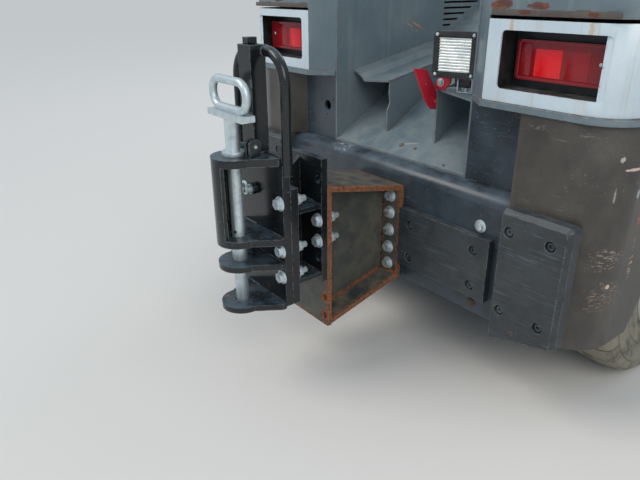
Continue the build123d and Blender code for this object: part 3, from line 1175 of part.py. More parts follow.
def steering_wheel():
    plane = Plane(origin=column_point(0), x_dir=(1, 0, 0), z_dir=(0, -SIN_TILT, COS_TILT))
    ring = Torus(*WHEEL_RING)
    hub = Cylinder(*WHEEL_HUB)
    spokes = None
    for turn in (0, 120, 240):
        spoke = Rot(0, 0, turn + 90) * Pos(WHEEL_SPOKE[0] / 2, 0, 0) * Box(*WHEEL_SPOKE)
        spokes = spoke if spokes is None else spokes + spoke
    wheel = ring + hub + spokes
    wheel += Pos(0, 0, -WHEEL_NECK[2]) * Cylinder(*WHEEL_NECK[:2])
    return plane.location * wheel


def mirrors():
    y, z = DOOR_FRONT + MIRROR_AHEAD, EAVES - MIRROR_DROP
    reach, bar = MIRROR_ARM
    arm = slab(CAB_HALF_WIDTH, CAB_HALF_WIDTH + reach, y, y + bar, z, z + bar)
    arm += slab(CAB_HALF_WIDTH + MIRROR_SHELL[0], CAB_HALF_WIDTH + MIRROR_SHELL[1], y + bar,
                y + bar + MIRROR_DEPTH, z - MIRROR_BELOW, z + MIRROR_ABOVE)
    return both_sides(arm)


def main():
    os.makedirs("parts", exist_ok=True)
    single = [chassis, rear_beam, rear_deck, hitch_chute, lamp_panels, lamp_housings, rear_lamps,
              battery_lid, battery, hitch_bracket, hitch_spacer, hitch_jaw, hitch_pin,
              hitch_bolts, bump_pads, work_lamp, release_lever, rear_axle, front_axle,
              cab_shell, cab_roof, cab_glass, front_body, front_bumper, headlamps, seat, dash,
              steering_wheel, mirrors]
    for maker in single:
        save(maker.__name__, maker())
    corner = rear_side()
    save("rear_side_right", corner)
    save("rear_side_left", mirrored(corner))
    for word, side in SIDES:
        save(f"knuckle_{word}", knuckle(side))
        save(f"door_{word}", door(side))
        save(f"door_glass_{word}", door_glass(side))
        for end, y in (("rear", REAR_OVERHANG), ("front", FRONT_AXLE_Y)):
            save(f"wheel_{end}_{word}", wheel_rim(side, y))
            save(f"tyre_{end}_{word}", tyre(side, y))


main()
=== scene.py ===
"""Industrial tow tractor: finishes, small fittings, studio and camera.

Pieces are drawn in millimetres: right of the middle, ahead of the rear face, above the floor.
finished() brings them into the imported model's metres. Tyres, discs, rear lamps, headlamps,
mirrors, panes, seat and steering wheel are placed from the model's own boxes and joint.
"""
import json
from math import cos, pi, radians, sin
import bmesh
import bpy
from mathutils import Matrix, Vector


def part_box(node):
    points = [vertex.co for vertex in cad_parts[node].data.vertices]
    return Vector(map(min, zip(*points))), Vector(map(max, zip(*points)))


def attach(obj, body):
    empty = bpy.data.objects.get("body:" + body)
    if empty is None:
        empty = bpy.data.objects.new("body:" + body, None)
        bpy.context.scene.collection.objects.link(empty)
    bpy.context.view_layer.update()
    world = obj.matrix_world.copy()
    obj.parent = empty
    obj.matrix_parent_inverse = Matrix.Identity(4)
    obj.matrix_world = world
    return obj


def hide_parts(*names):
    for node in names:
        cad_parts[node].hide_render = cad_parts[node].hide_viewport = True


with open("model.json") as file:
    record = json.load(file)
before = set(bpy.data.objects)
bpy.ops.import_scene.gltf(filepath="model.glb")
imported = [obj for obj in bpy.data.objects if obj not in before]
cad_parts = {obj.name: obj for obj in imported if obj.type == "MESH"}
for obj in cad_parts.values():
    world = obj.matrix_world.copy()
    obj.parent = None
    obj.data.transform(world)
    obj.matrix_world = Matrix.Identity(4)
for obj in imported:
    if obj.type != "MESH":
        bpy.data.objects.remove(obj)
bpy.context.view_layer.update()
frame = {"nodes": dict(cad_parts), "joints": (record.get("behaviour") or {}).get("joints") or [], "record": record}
MM = 0.001

TO_METRES = Matrix.Translation((0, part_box("lamp_panels")[0].y, 0)) @ Matrix.Scale(MM, 4)
TO_MM = TO_METRES.inverted()
SIDES = (("left", -1), ("right", 1))
WHEELS = [(f"{end}_{word}", side) for end in ("rear", "front") for word, side in SIDES]
BACK, AHEAD = (0, -1, 0), (0, 1, 0)

# Camera, from the photograph's vanishing lines
CAMERA_SPOT = (1350, -1282, 1153)
CAMERA_TURN = 52.53       # degrees to the left of straight ahead
CAMERA_DROP = 23.60       # degrees below the horizon
CAMERA_ROLL = -0.45
IMAGE_WIDTH = 640
FOCAL_PIXELS = 582.7
SENSOR_MM = 36.0

# Rounded edges of the sheet and plate; facets that lie this close are one plane, points one point
EDGE_RADIUS = 1.6 * MM
FLAT_WITHIN = radians(0.6)
SHARP_FROM = radians(32)
WELDED_WITHIN = 0.01 * MM

DOOR_FACE = 743           # outer face of the doors, from the middle
POST_FACE = 745           # outer face of the cab's posts


# Materials

def hex_colour(code):
    """sRGB hex code to linear RGBA."""
    parts = [int(code[i:i + 2], 16) / 255 for i in (1, 3, 5)]
    linear = [c / 12.92 if c <= 0.04045 else ((c + 0.055) / 1.055) ** 2.4 for c in parts]
    return (*linear, 1.0)


def add(tree, kind, inputs=None, out=0, **settings):
    """Adds a node with its settings; inputs are its sockets' values, or the outputs that feed
    them. Gives back the output that is asked for."""
    made = tree.nodes.new("ShaderNode" + kind)
    for name, value in settings.items():
        setattr(made, name, value)
    for socket, value in (inputs or {}).items():
        if isinstance(value, bpy.types.NodeSocket):
            tree.links.new(value, made.inputs[socket])
        else:
            made.inputs[socket].default_value = value
    return made.outputs[out] if made.outputs else made


# How add() is called where it lays one colour (socket 7) over another (6) by a mask (0)
TINT = {"kind": "Mix", "out": 2, "data_type": "RGBA"}


def material(name, surface, *given, **layers):
    """Material drawn by its surface function: that takes the piece's own coordinates, and gives
    back a shader, or the sockets of a plain one."""
    made = bpy.data.materials.new(name)
    made.use_nodes = True
    tree = made.node_tree
    tree.nodes.clear()
    shader = surface(tree, add(tree, "TexCoord", out="Object"), *given, **layers)
    if isinstance(shader, dict):
        shader = add(tree, "BsdfPrincipled", shader)
    add(tree, "OutputMaterial", {"Surface": shader})
    return made


# Layers of wear, and on some finishes of painted sheen: each gives a mask, from 0 where there is none of it to
# strength

def patches(tree, place, size, start=0.4, end=0.65, strength=1.0, detail=4.0, rough=0.6):
    """Uneven blotches about size metres across."""
    cloud = add(tree, "TexNoise", {"Vector": place, "Scale": 1.0 / size, "Detail": detail,
                                   "Roughness": rough})
    return add(tree, "MapRange", {"Value": cloud, "From Min": start, "From Max": end,
                                  "To Max": strength}, interpolation_type="SMOOTHSTEP")


def edges(tree, place, reach, wear, strength=1.0, spread=(0.998, 0.955)):
    """Edges rubbed through: within about reach of an edge, on more of it the higher the wear. On the hitch's black
    enamel they also stand for painted highlights.
    The nearer to 1 the spread's two numbers, the more of that reach is covered."""
    soft = add(tree, "Bevel", {"Radius": reach}, samples=4)
    flat = add(tree, "NewGeometry", out="Normal")
    turned = add(tree, "VectorMath", {0: soft, 1: flat}, out="Value", operation="DOT_PRODUCT")
    near = add(tree, "MapRange", {"Value": turned, "From Min": spread[0], "From Max": spread[1],
                                  "To Max": strength}, interpolation_type="SMOOTHSTEP")
    rubbed = patches(tree, place, 0.02, 0.70 - wear * 0.4, 0.80 - wear * 0.4, detail=6.0)
    return add(tree, "Math", {0: near, 1: rubbed}, operation="MULTIPLY")


def scratches(tree, place, turn, share, strength=0.6):
    """Straight scratches 50 to 200 mm long; real ones are 0.3 mm wide and are drawn 1.5 mm wide,
    so that they show."""
    drawn = add(tree, "Mapping", {"Vector": place, "Rotation": turn, "Scale": (8.0, 230.0, 260.0)})
    lines = add(tree, "TexNoise", {"Vector": drawn, "Scale": 1.0, "Detail": 2.0})
    thin = add(tree, "MapRange", {"Value": lines, "From Min": 0.72 - share * 0.12,
                                  "From Max": 0.77 - share * 0.12, "To Max": strength})
    where = patches(tree, place, 0.16, 0.58 - share * 0.3, 0.70 - share * 0.3)
    return add(tree, "Math", {0: thin, 1: where}, operation="MULTIPLY")


def chips(tree, place, size, share, strength=0.9):
    """Small chips about size metres across, crowded together here and there."""
    spots = patches(tree, place, size, 0.71 - share * 0.08, 0.74 - share * 0.08, strength, 3.0)
    where = patches(tree, place, 0.17, 0.5, 0.6, detail=2.0)
    return add(tree, "Math", {0: spots, 1: where}, operation="MULTIPLY")


def runs(tree, place, width, strength=0.4):
    """Streaks about width across that water drew down the walls."""
    drawn = add(tree, "Mapping", {"Vector": place, "Scale": (1 / width, 1 / width, 2.5)})
    return patches(tree, drawn, 1.0, 0.54, 0.74, strength, 3.0, 0.5)


def dust_and_sheen(tree, place, size, strength=0.4, walls=0.3):
    """Dust that lies on faces that look up, and a share of it on the walls; on the frame's and the hitch's black
    enamel it is painted sky reflection as well.
    """
    normal = add(tree, "NewGeometry", out="Normal")
    height = add(tree, "SeparateXYZ", {0: normal}, out="Z")
    lying = add(tree, "MapRange", {"Value": height, "From Min": 0.3, "From Max": 0.95,
                                   "To Min": walls * strength, "To Max": strength},
                interpolation_type="SMOOTHSTEP")
    cloud = patches(tree, place, size, 0.3, 0.7, detail=6.0)
    return add(tree, "Math", {0: lying, 1: cloud}, operation="MULTIPLY")


def mark(tree, place, middle, reach, turn=(0, 0, 0), strength=0.9, ragged=0.007, broken=0.0):
    """One mark at a place on the machine: half lengths and turn of its patch, ragged outline.
    A broken one is made up of short streaks about that wide."""
    local = add(tree, "Mapping", {"Vector": place, "Location": TO_METRES @ Vector(middle),
                                  "Rotation": [radians(angle) for angle in turn],
                                  "Scale": [half * MM for half in reach]}, vector_type="TEXTURE")
    away = add(tree, "VectorMath", {0: local}, out="Value", operation="LENGTH")
    cloud = add(tree, "TexNoise", {"Vector": place, "Scale": 1.0 / ragged, "Detail": 4.0,
                                   "Roughness": 0.7})
    torn = add(tree, "Math", {0: cloud, 1: 1.4, 2: away}, operation="MULTIPLY_ADD")
    patch = add(tree, "MapRange", {"Value": torn, "From Min": 1.52, "From Max": 1.34,
                                   "To Max": strength})
    if not broken:
        return patch
    drawn = add(tree, "Mapping", {"Vector": place, "Rotation": (0.1, 0.15, 0.1),
                                  "Scale": (0.4 / broken, 0.4 / broken, 1.6 / broken)})
    cloud = add(tree, "TexNoise", {"Vector": drawn, "Scale": 1.0, "Detail": 6.0,
                                   "Roughness": 0.75})
    specks = add(tree, "MapRange", {"Value": cloud, "From Min": 0.53, "From Max": 0.60})
    return add(tree, "Math", {0: patch, 1: specks}, operation="MULTIPLY")


def wear(draw, tint, **settings):
    """One layer of wear, on some finishes also of painted sheen: the function that draws its mask, its sRGB colour
    and its settings.
    """
    return draw, tint, settings


def relief(tree, place, grain, detail, strength, depth):
    """Fine unevenness of a surface: bumps grain mm apart and depth mm high at full strength."""
    texture = add(tree, "TexNoise", {"Vector": place, "Scale": 1.0 / (grain * MM),
                                     "Detail": detail})
    return add(tree, "Bump", {"Height": texture, "Strength": strength, "Distance": depth * MM})


# Surfaces

def enamel(tree, place, paint, faded, rough, film=(), bare=(), metal=0.0, peel=0.05):
    """Sprayed enamel on steel: smooth gloss with the spray's orange peel and soft fading.
    Film layers lie on the paint and dull it; bare layers go through it, down to the steel. On the black enamels
    some film layers are painted sky reflection, and on the hitch the rubbed edges also paint in highlights."""
    fade = patches(tree, place, 0.22, 0.35, 0.7)
    colour = add(tree, inputs={0: fade, 6: hex_colour(paint), 7: hex_colour(faded)}, **TINT)
    gloss = add(tree, "MapRange", {"Value": fade, "To Min": rough, "To Max": rough + 0.1})
    worn = None
    for group, dulling in ((film, 0.3), (bare, 0.25)):
        for draw, tint, settings in group:
            mask = draw(tree, place, **settings)
            colour = add(tree, inputs={0: mask, 6: colour, 7: hex_colour(tint)}, **TINT)
            gloss = add(tree, "Math", {0: mask, 1: dulling, 2: gloss}, operation="MULTIPLY_ADD")
            if group is bare:
                worn = mask if worn is None else add(tree, "Math", {0: worn, 1: mask},
                                                     operation="MAXIMUM")
    # Orange peel is about 2 mm across; paint is 0.2 mm thick where it is chipped
    normal = relief(tree, place, 2.2, 1.0, peel, 0.4)
    sockets = {"Base Color": colour, "Roughness": gloss, "IOR": 1.5}
    if worn is not None:
        normal = add(tree, "Bump", {"Height": worn, "Strength": 0.4, "Distance": 0.2 * MM,
                                    "Normal": normal}, invert=True)
        if metal:
            sockets["Metallic"] = add(tree, "Math", {0: worn, 1: metal}, operation="MULTIPLY")
    return {**sockets, "Normal": normal}


def rusty_steel(tree, place):
    """Hot-rolled steel under thin dark primer: matt and speckled, brown where the rust creeps out
    from under it, and orange and rough along every edge and on the plates' narrow faces."""
    primer = add(tree, inputs={0: patches(tree, place, 0.10, 0.35, 0.7),
                               6: hex_colour("#3A4040"), 7: hex_colour("#474943")}, **TINT)
    for mask, tint in ((patches(tree, place, 0.04, 0.54, 0.76, 0.3, 6.0), "#5A4535"),
                       (dust_and_sheen(tree, place, 0.05, 0.6, 0.3), "#857B6B"),
                       (scratches(tree, place, (0.0, 0.7, 0.9), 0.25, 0.5), "#9AA19C")):
        primer = add(tree, inputs={0: mask, 6: primer, 7: hex_colour(tint)}, **TINT)
    rust = add(tree, inputs={0: patches(tree, place, 0.009, 0.32, 0.62, detail=6.0),
                             6: hex_colour("#4E2A1B"), 7: hex_colour("#A8602F")}, **TINT)
    rims = edges(tree, place, 16 * MM, 0.95, 1.0, (0.9998, 0.990))
    specks = chips(tree, place, 0.008, 0.35, 0.8)
    cover = add(tree, "Math", {0: rims, 1: specks}, operation="MAXIMUM")
    depth = add(tree, "MapRange", {"Value": cover, "To Min": 0.12, "To Max": 0.5})
    return {"Base Color": add(tree, inputs={0: cover, 6: primer, 7: rust}, **TINT),
            "Roughness": add(tree, "MapRange", {"Value": cover, "To Min": 0.42, "To Max": 0.9}),
            "Normal": relief(tree, place, 3, 4.0, depth, 0.6), "IOR": 1.5}


def zinc_plate(tree, place):
    """Bright zinc plating, passivated: bluish silver with cloudy duller patches and grey grime;
    it has rusted through on two of the bracket's bolts."""
    cloud = patches(tree, place, 0.02, 0.3, 0.7)
    colour = add(tree, inputs={0: cloud, 6: hex_colour("#D2DDE2"), 7: hex_colour("#BAC7CC")},
                 **TINT)
    grime = patches(tree, place, 0.02, 0.60, 0.80, 0.45)
    masks = [(grime, "#77756B")] + [
        (mark(tree, place, (60, -14, height), (12, 18, 10), strength=0.85, ragged=0.005),
         "#8A5638") for height in (465, 403)]
    for mask, tint in masks:
        colour = add(tree, inputs={0: mask, 6: colour, 7: hex_colour(tint)}, **TINT)
    return {"Base Color": colour, "Normal": relief(tree, place, 1.5, 2.0, 0.06, 0.3),
            "Metallic": add(tree, "MapRange", {"Value": grime, "To Min": 0.72, "To Max": 0.4}),
            "Roughness": add(tree, "MapRange", {"Value": cloud, "To Min": 0.34, "To Max": 0.52})}


def tyre_rubber(tree, place):
    """Vulcanised black rubber: matt, greyed by dried clay dust that rubs off along the edges of
    its blocks and stays in its hollows."""
    clay = patches(tree, place, 0.06, 0.22, 0.56, 0.95, 6.0)
    colour = add(tree, inputs={0: clay, 6: hex_colour("#3A3936"), 7: hex_colour("#878374")},
                 **TINT)
    rubbed = edges(tree, place, 5 * MM, 0.9, 0.5)
    colour = add(tree, inputs={0: rubbed, 6: colour, 7: hex_colour("#8F8B7D")}, **TINT)
    return {"Base Color": colour, "Roughness": 0.86, "IOR": 1.5,
            "Normal": relief(tree, place, 3, 4.0, 0.3, 0.5)}


def moulded_plastic(tree, place, tone, dusty, rough, grain):
    """Injection-moulded ABS: its spark-eroded grain, in millimetres, breaks up the highlights;
    pale dust sits on top."""
    lying = dust_and_sheen(tree, place, 0.03, 0.5, 0.25)
    colour = add(tree, inputs={0: lying, 6: hex_colour(tone), 7: hex_colour(dusty)}, **TINT)
    return {"Base Color": colour, "Normal": relief(tree, place, grain, 2.0, 0.2, 0.2),
            "Roughness": add(tree, "MapRange", {"Value": lying, "To Min": rough, "To Max": 0.9}),
            "IOR": 1.53}


def window_glass(tree, place):
    """Toughened float glass: clear with a faint green body, and a thin uneven film of dust."""
    clear = add(tree, "BsdfPrincipled", {"Base Color": hex_colour("#DDEBE6"), "Roughness": 0.03,
                                         "IOR": 1.52, "Transmission Weight": 1.0})
    film = add(tree, "BsdfDiffuse", {"Color": hex_colour("#9A968A")})
    through = add(tree, "BsdfTransparent", {"Color": hex_colour("#DCE9E4")})
    lit = add(tree, "LightPath", out="Is Shadow Ray")
    body = add(tree, "MixShader", {0: lit, 1: clear, 2: through})
    amount = patches(tree, place, 0.25, 0.45, 0.9, 0.08)
    return add(tree, "MixShader", {0: amount, 1: body, 2: film})


def red_lens(tree, place, dark, bright, pitch, depth):
    """Moulded acrylic over a reflector: deep clear colour, with prisms pitch millimetres apart
    on its inner face and dust on its outer one."""
    cells = add(tree, "TexVoronoi", {"Vector": place, "Scale": 1.0 / (pitch * MM)})
    colour = add(tree, inputs={0: cells, 6: hex_colour(bright), 7: hex_colour(dark)}, **TINT)
    lying = patches(tree, place, 0.03, 0.45, 0.8, 0.25, 6.0)
    colour = add(tree, inputs={0: lying, 6: colour, 7: hex_colour("#7A4A42")}, **TINT)
    return {"Base Color": colour, "IOR": 1.49, "Subsurface Weight": 0.15,
            "Subsurface Radius": (0.01, 0.002, 0.002),
            "Roughness": add(tree, "MapRange", {"Value": lying, "To Min": 0.14, "To Max": 0.6}),
            "Normal": add(tree, "Bump", {"Height": cells, "Strength": depth,
                                         "Distance": 0.6 * MM})}


def clear_lens(tree, place, light, grey, metallic):
    """Moulded polycarbonate in front of a bright reflector: milky silver with soft darker clouds,
    under a hard clear skin."""
    cloud = patches(tree, place, 0.035, 0.35, 0.65)
    colour = add(tree, inputs={0: cloud, 6: hex_colour(light), 7: hex_colour(grey)}, **TINT)
    lying = patches(tree, place, 0.02, 0.5, 0.8, 0.35)
    colour = add(tree, inputs={0: lying, 6: colour, 7: hex_colour("#8F8D84")}, **TINT)
    return {"Base Color": colour, "Metallic": metallic, "IOR": 1.58, "Coat Weight": 0.8,
            "Coat Roughness": 0.05,
            "Roughness": add(tree, "MapRange", {"Value": lying, "To Min": 0.12, "To Max": 0.5})}


def woven_cloth(tree, place):
    """Woven polyester: threads 1.3 mm apart, over and under each other, soft, matt and dark."""
    scale = 2 * pi / 20 / (1.316 * MM)          # a wave takes 2 pi / 20 of the node's unit
    warp, weft = (add(tree, "TexWave", {"Vector": place, "Scale": scale}, out="Fac",
                      bands_direction=axis) for axis in "XY")
    weave = add(tree, "Math", {0: warp, 1: weft}, operation="MAXIMUM")
    colour = add(tree, inputs={0: weave, 6: hex_colour("#1F2225"), 7: hex_colour("#3B3F44")},
                 **TINT)
    lint = patches(tree, place, 0.05, 0.5, 0.75, 0.3, 6.0)
    colour = add(tree, inputs={0: lint, 6: colour, 7: hex_colour("#6A665C")}, **TINT)
    return {"Base Color": colour, "Roughness": 0.9, "Sheen Weight": 0.3,
            "Normal": add(tree, "Bump", {"Height": weave, "Strength": 0.35,
                                         "Distance": 0.4 * MM})}


def polished_metal(tree, place, tone, rough):
    """Polished plating: a mirror with faint haze where it was wiped."""
    cloud = add(tree, "TexNoise", {"Vector": place, "Scale": 25.0, "Detail": 4.0})
    haze = add(tree, "MapRange", {"Value": cloud, "From Min": 0.3, "From Max": 0.8,
                                  "To Min": rough, "To Max": rough + 0.12})
    return {"Base Color": hex_colour(tone), "Metallic": 1.0, "Roughness": haze}


# Finishes: most marks sit where the photograph shows them, in millimetres on the machine

ACROSS = (0.03, 0.02, 0.04)          # turns of scratches: along X, up and down, and slanting
UPRIGHT = (0.05, 1.45, 0.1)
SLANTING = (0.5, 0.6, 0.8)

SLATE = material("slate_enamel", enamel, "#5D6D76", "#6C7A81", 0.30, film=[
    wear(runs, "#8B9492", width=0.016, strength=0.22),
    wear(dust_and_sheen, "#87918F", size=0.05, strength=0.45, walls=0.2),
    wear(scratches, "#9EA8A9", turn=SLANTING, share=0.4, strength=0.35),
    wear(scratches, "#9AA5A6", turn=UPRIGHT, share=0.3, strength=0.35),
    wear(mark, "#B79A74", middle=(-297, 440, 1008), reach=(14, 90, 22), turn=(-24, 0, 0),
         strength=0.6, ragged=0.014, broken=0.012),
    wear(mark, "#A7A79B", middle=(24, 118, 668), reach=(60, 5, 12), turn=(30, 0, 24),
         strength=0.5, ragged=0.004),
    wear(mark, "#A3A79E", middle=(-150, 230, 735), reach=(60, 90, 14), turn=(30, 0, 20),
         strength=0.4, broken=0.02),
], bare=[
    wear(edges, "#6A4B38", reach=3.4 * MM, wear=0.6),
    wear(chips, "#7A4A2E", size=0.014, share=0.35),
    wear(mark, "#B9834F", middle=(-297, 452, 1014), reach=(14, 34, 5), turn=(-24, 0, 0),
         ragged=0.006),
    wear(mark, "#50291B", middle=(412, 0, 1108), reach=(46, 14, 15), ragged=0.020),
    wear(mark, "#8A4A2A", middle=(412, 0, 1108), reach=(46, 14, 15), ragged=0.012, broken=0.016),
    wear(mark, "#50291B", middle=(515, 0, 1106), reach=(40, 14, 11), ragged=0.018),
    wear(mark, "#8A4A2A", middle=(515, 0, 1106), reach=(40, 14, 11), ragged=0.012, broken=0.014),
    wear(mark, "#50291B", middle=(-560, 0, 1112), reach=(46, 14, 14), ragged=0.018),
    wear(mark, "#7A4328", middle=(640, 1700, 500), reach=(90, 60, 25), ragged=0.02),
])
# The brown cast of this black enamel is painted reflection of sandy ground.
SIDE_DARK = material("black_enamel_painted_ground_reflection", enamel, "#33312F", "#45423E", 0.27, film=[
    wear(dust_and_sheen, "#6F6A60", size=0.08, strength=0.5, walls=0.35),
    wear(runs, "#5A554C", width=0.05, strength=0.3),
    wear(scratches, "#8E857B", turn=UPRIGHT, share=0.45, strength=0.35),
    wear(scratches, "#8A837A", turn=ACROSS, share=0.25, strength=0.3),
    wear(mark, "#C9B4AA", middle=(757, 98, 754), reach=(22, 36, 5), ragged=0.005),
    wear(mark, "#B0A8A1", middle=(744, 63, 780), reach=(12, 7, 9), ragged=0.004),
    wear(mark, "#8E8A86", middle=(743, 61, 690), reach=(12, 3, 24), ragged=0.004),
    wear(mark, "#9AA3A8", middle=(765, 131, 688), reach=(12, 7, 16), ragged=0.005),
    wear(mark, "#8C857C", middle=(563, 0, 832), reach=(52, 14, 9), strength=0.6, broken=0.006),
    wear(mark, "#8C857C", middle=(690, 12, 832), reach=(52, 24, 8), strength=0.6, broken=0.006),
], bare=[
    wear(edges, "#6F6155", reach=3 * MM, wear=0.45, strength=0.7),
    wear(chips, "#A08574", size=0.006, share=0.45, strength=0.75),
    wear(mark, "#A39084", middle=(747, 70, 526), reach=(40, 80, 44), strength=0.8, broken=0.007),
    wear(mark, "#9C8676", middle=(752, 84, 420), reach=(40, 90, 60), strength=0.7, broken=0.006),
    wear(mark, "#D2BFAE", middle=(757, 90, 446), reach=(12, 8, 8), ragged=0.004),
    wear(mark, "#B4633A", middle=(763, 165, 600), reach=(20, 10, 70), ragged=0.01, broken=0.016),
    wear(mark, "#C0A48C", middle=(765, 170, 480), reach=(20, 14, 90), ragged=0.01, broken=0.01),
])
# The blue cast of this black enamel is painted sky reflection.
FRAME_BLACK = material("black_enamel_painted_sky_reflection", enamel, "#2A3138", "#38424B", 0.24, film=[
    # Blue-grey film on faces that look up: dust, and painted sky reflection.
    wear(dust_and_sheen, "#66798A", size=0.06, strength=0.5, walls=0.2),
    wear(scratches, "#7E8C96", turn=ACROSS, share=0.4, strength=0.35),
    wear(scratches, "#74818A", turn=SLANTING, share=0.25, strength=0.3),
], bare=[
    wear(edges, "#6A747A", reach=3 * MM, wear=0.45, strength=0.7),
    wear(chips, "#B7C1C4", size=0.005, share=0.3),
    wear(mark, "#B7C1C4", middle=(-230, 40, 622), reach=(60, 40, 30), broken=0.005),
])
# The blue cast and greyness of this white enamel are painted skylit shade.
PALE = material("white_enamel_painted_skylit_shade", enamel, "#BACAD4", "#C9D6DE", 0.16, film=[
    wear(runs, "#B39C78", width=0.009, strength=0.32),
    wear(runs, "#AEBBC2", width=0.03, strength=0.25),
    wear(mark, "#B98F4F", middle=(446, 0, 1058), reach=(8, 12, 26), strength=0.5),
    wear(mark, "#B98F4F", middle=(650, 0, 1058), reach=(8, 12, 30), strength=0.5),
], bare=[
    wear(edges, "#6E767B", reach=2.5 * MM, wear=0.45, strength=0.7),
    wear(chips, "#7B6A58", size=0.006, share=0.15),
], peel=0.03)
HITCH_BLACK = material("black_gloss_enamel", enamel, "#101214", "#191D20", 0.14, film=[
    # Bluish film on the plates' upper faces: a little dust, mostly painted sky reflection.
    wear(dust_and_sheen, "#566B78", size=0.05, strength=0.62, walls=0.05),
    wear(scratches, "#6A757C", turn=SLANTING, share=0.35, strength=0.35),
    wear(scratches, "#6A757C", turn=UPRIGHT, share=0.3, strength=0.3),
], bare=[
    # Pale rubbed edges: worn paint, made brighter to paint in the highlights along the plates' edges.
    wear(edges, "#7F888D", reach=2.8 * MM, wear=0.72, strength=0.75),
    wear(chips, "#8D9496", size=0.005, share=0.2),
    wear(mark, "#A35C2E", middle=(-46, -574, 300), reach=(18, 16, 16), ragged=0.008, broken=0.01),
    wear(mark, "#83492B", middle=(4, -455, 325), reach=(22, 14, 18), ragged=0.01, broken=0.012),
], metal=0.55)
PAD_BLACK = material("black_machine_enamel", enamel, "#252A2E", "#33383C", 0.38, film=[
    wear(dust_and_sheen, "#5B6267", size=0.05, strength=0.4, walls=0.4),
    wear(scratches, "#6C757A", turn=ACROSS, share=0.7, strength=0.35),
    wear(scratches, "#747D82", turn=(0.2, 0.25, 0.1), share=0.5, strength=0.3),
    wear(scratches, "#15181A", turn=(0.1, -0.1, 0.1), share=0.7, strength=0.45),
], bare=[
    wear(edges, "#6F7A81", reach=4 * MM, wear=0.66, strength=0.6),
    wear(chips, "#8D8A84", size=0.006, share=0.3, strength=0.6),
    wear(mark, "#BC8460", middle=(594, -42, 276), reach=(24, 12, 6), turn=(0, -12, 0),
         ragged=0.005, broken=0.008),
], peel=0.12)
LEVER_RED = material("red_enamel", enamel, "#B3122A", "#C21F36", 0.3, film=[
    wear(dust_and_sheen, "#A8646A", size=0.03, strength=0.2, walls=0.3),
    wear(scratches, "#D88E94", turn=UPRIGHT, share=0.5, strength=0.5),
], bare=[wear(edges, "#5E2A22", reach=2 * MM, wear=0.4)])
AXLE_IRON = material("cast_iron_paint", enamel, "#262626", "#3A3733", 0.6, film=[
    wear(dust_and_sheen, "#6B6457", size=0.05, strength=0.7, walls=0.6),
], bare=[wear(edges, "#6A4630", reach=3 * MM, wear=0.5)], peel=0.35)
RIM_PAINT = material("grey_rim_enamel", enamel, "#A2A6A3", "#8A8D89", 0.4, film=[
    wear(dust_and_sheen, "#857D6C", size=0.04, strength=0.6, walls=0.7),
], bare=[
    wear(edges, "#6B4A35", reach=2.5 * MM, wear=0.5),
    wear(chips, "#6B4A35", size=0.010, share=0.4),
])
STRIP_IRON = material("weathered_brown_enamel", enamel, "#48423F", "#59514B", 0.5, film=[
    wear(dust_and_sheen, "#7A736A", size=0.05, strength=0.5, walls=0.5),
], bare=[
    wear(edges, "#6E3F2A", reach=4 * MM, wear=0.55),
    wear(chips, "#6E3620", size=0.02, share=0.9, strength=0.8),
    wear(mark, "#5C2F1D", middle=(480, 0, 1092), reach=(24, 12, 8), ragged=0.014),
    wear(mark, "#5C2F1D", middle=(651, 0, 1091), reach=(18, 12, 8), ragged=0.014),
])
RUSTY = material("primed_rusty_steel", rusty_steel)
ZINC = material("zinc_plated_steel", zinc_plate)
RUBBER = material("tyre_rubber", tyre_rubber)
BLACK_PLASTIC = material("black_abs", moulded_plastic, "#17181A", "#6A6B68", 0.40, 0.8)
DARK_PLASTIC = material("charcoal_abs", moulded_plastic, "#2A2B2E", "#75746E", 0.55, 1.4)
GLASS = material("toughened_glass", window_glass)
RED_LENS = material("red_acrylic", red_lens, "#7A0D16", "#90121C", 4.0, 0.12)
REFLEX = material("red_reflex_acrylic", red_lens, "#D8101C", "#EE1A27", 3.0, 0.3)
REFLEX_DIM = material("dull_reflex_acrylic", red_lens, "#86121B", "#A21A24", 3.0, 0.3)
AMBER_LENS = material("amber_acrylic", red_lens, "#B8600F", "#E08A1E", 4.0, 0.3)
LAMP_LENS = material("ribbed_polycarbonate", clear_lens, "#E6ECEB", "#C3CDCD", 0.1)
CLOTH = material("woven_polyester", woven_cloth)
CHROME = material("chrome_plate", polished_metal, "#D6D9DA", 0.08)
MIRROR = material("silvered_glass", polished_metal, "#E2E6E8", 0.02)

FINISHES = {
    "slate_grey": SLATE, "side_dark": SIDE_DARK, "frame_black": FRAME_BLACK,
    "panel_white": PALE, "plastic_black": BLACK_PLASTIC, "lens_red": RED_LENS,
    "battery_case": DARK_PLASTIC, "rusty_steel": RUSTY, "hitch_black": HITCH_BLACK,
    "zinc": ZINC, "pad_black": PAD_BLACK, "lever_red": LEVER_RED, "axle_iron": AXLE_IRON,
    "window_glass": GLASS, "lamp_clear": GLASS, "seat_cloth": CLOTH,
    "plastic_dark": DARK_PLASTIC, "rim_paint": RIM_PAINT, "tyre_rubber": RUBBER,
}


# Making and placing shapes

def outline(node):
    """Lowest and highest corner of a CAD node, in millimetres."""
    return [TO_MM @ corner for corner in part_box(node)]


def both(place):
    """The place on the left side and on the right, each after its side."""
    return [(side, (side * place[0], *place[1:])) for side in (-1, 1)]


def aimed(place, direction=(0, 0, 1), turn=0.0):
    """Carries a shape drawn on +Z to a place, along a direction, turned about it in degrees."""
    tilt = Vector(direction).to_track_quat("Z", "Y").to_matrix().to_4x4()
    return Matrix.Translation(place) @ tilt @ Matrix.Rotation(radians(turn), 4, "Z")


def sideways(x, y, z, side):
    """Carries a sheet drawn flat to a wall of the cab."""
    return Matrix.Translation((x, y, z)) @ Matrix.Rotation(radians(90 * side), 4, "Y")


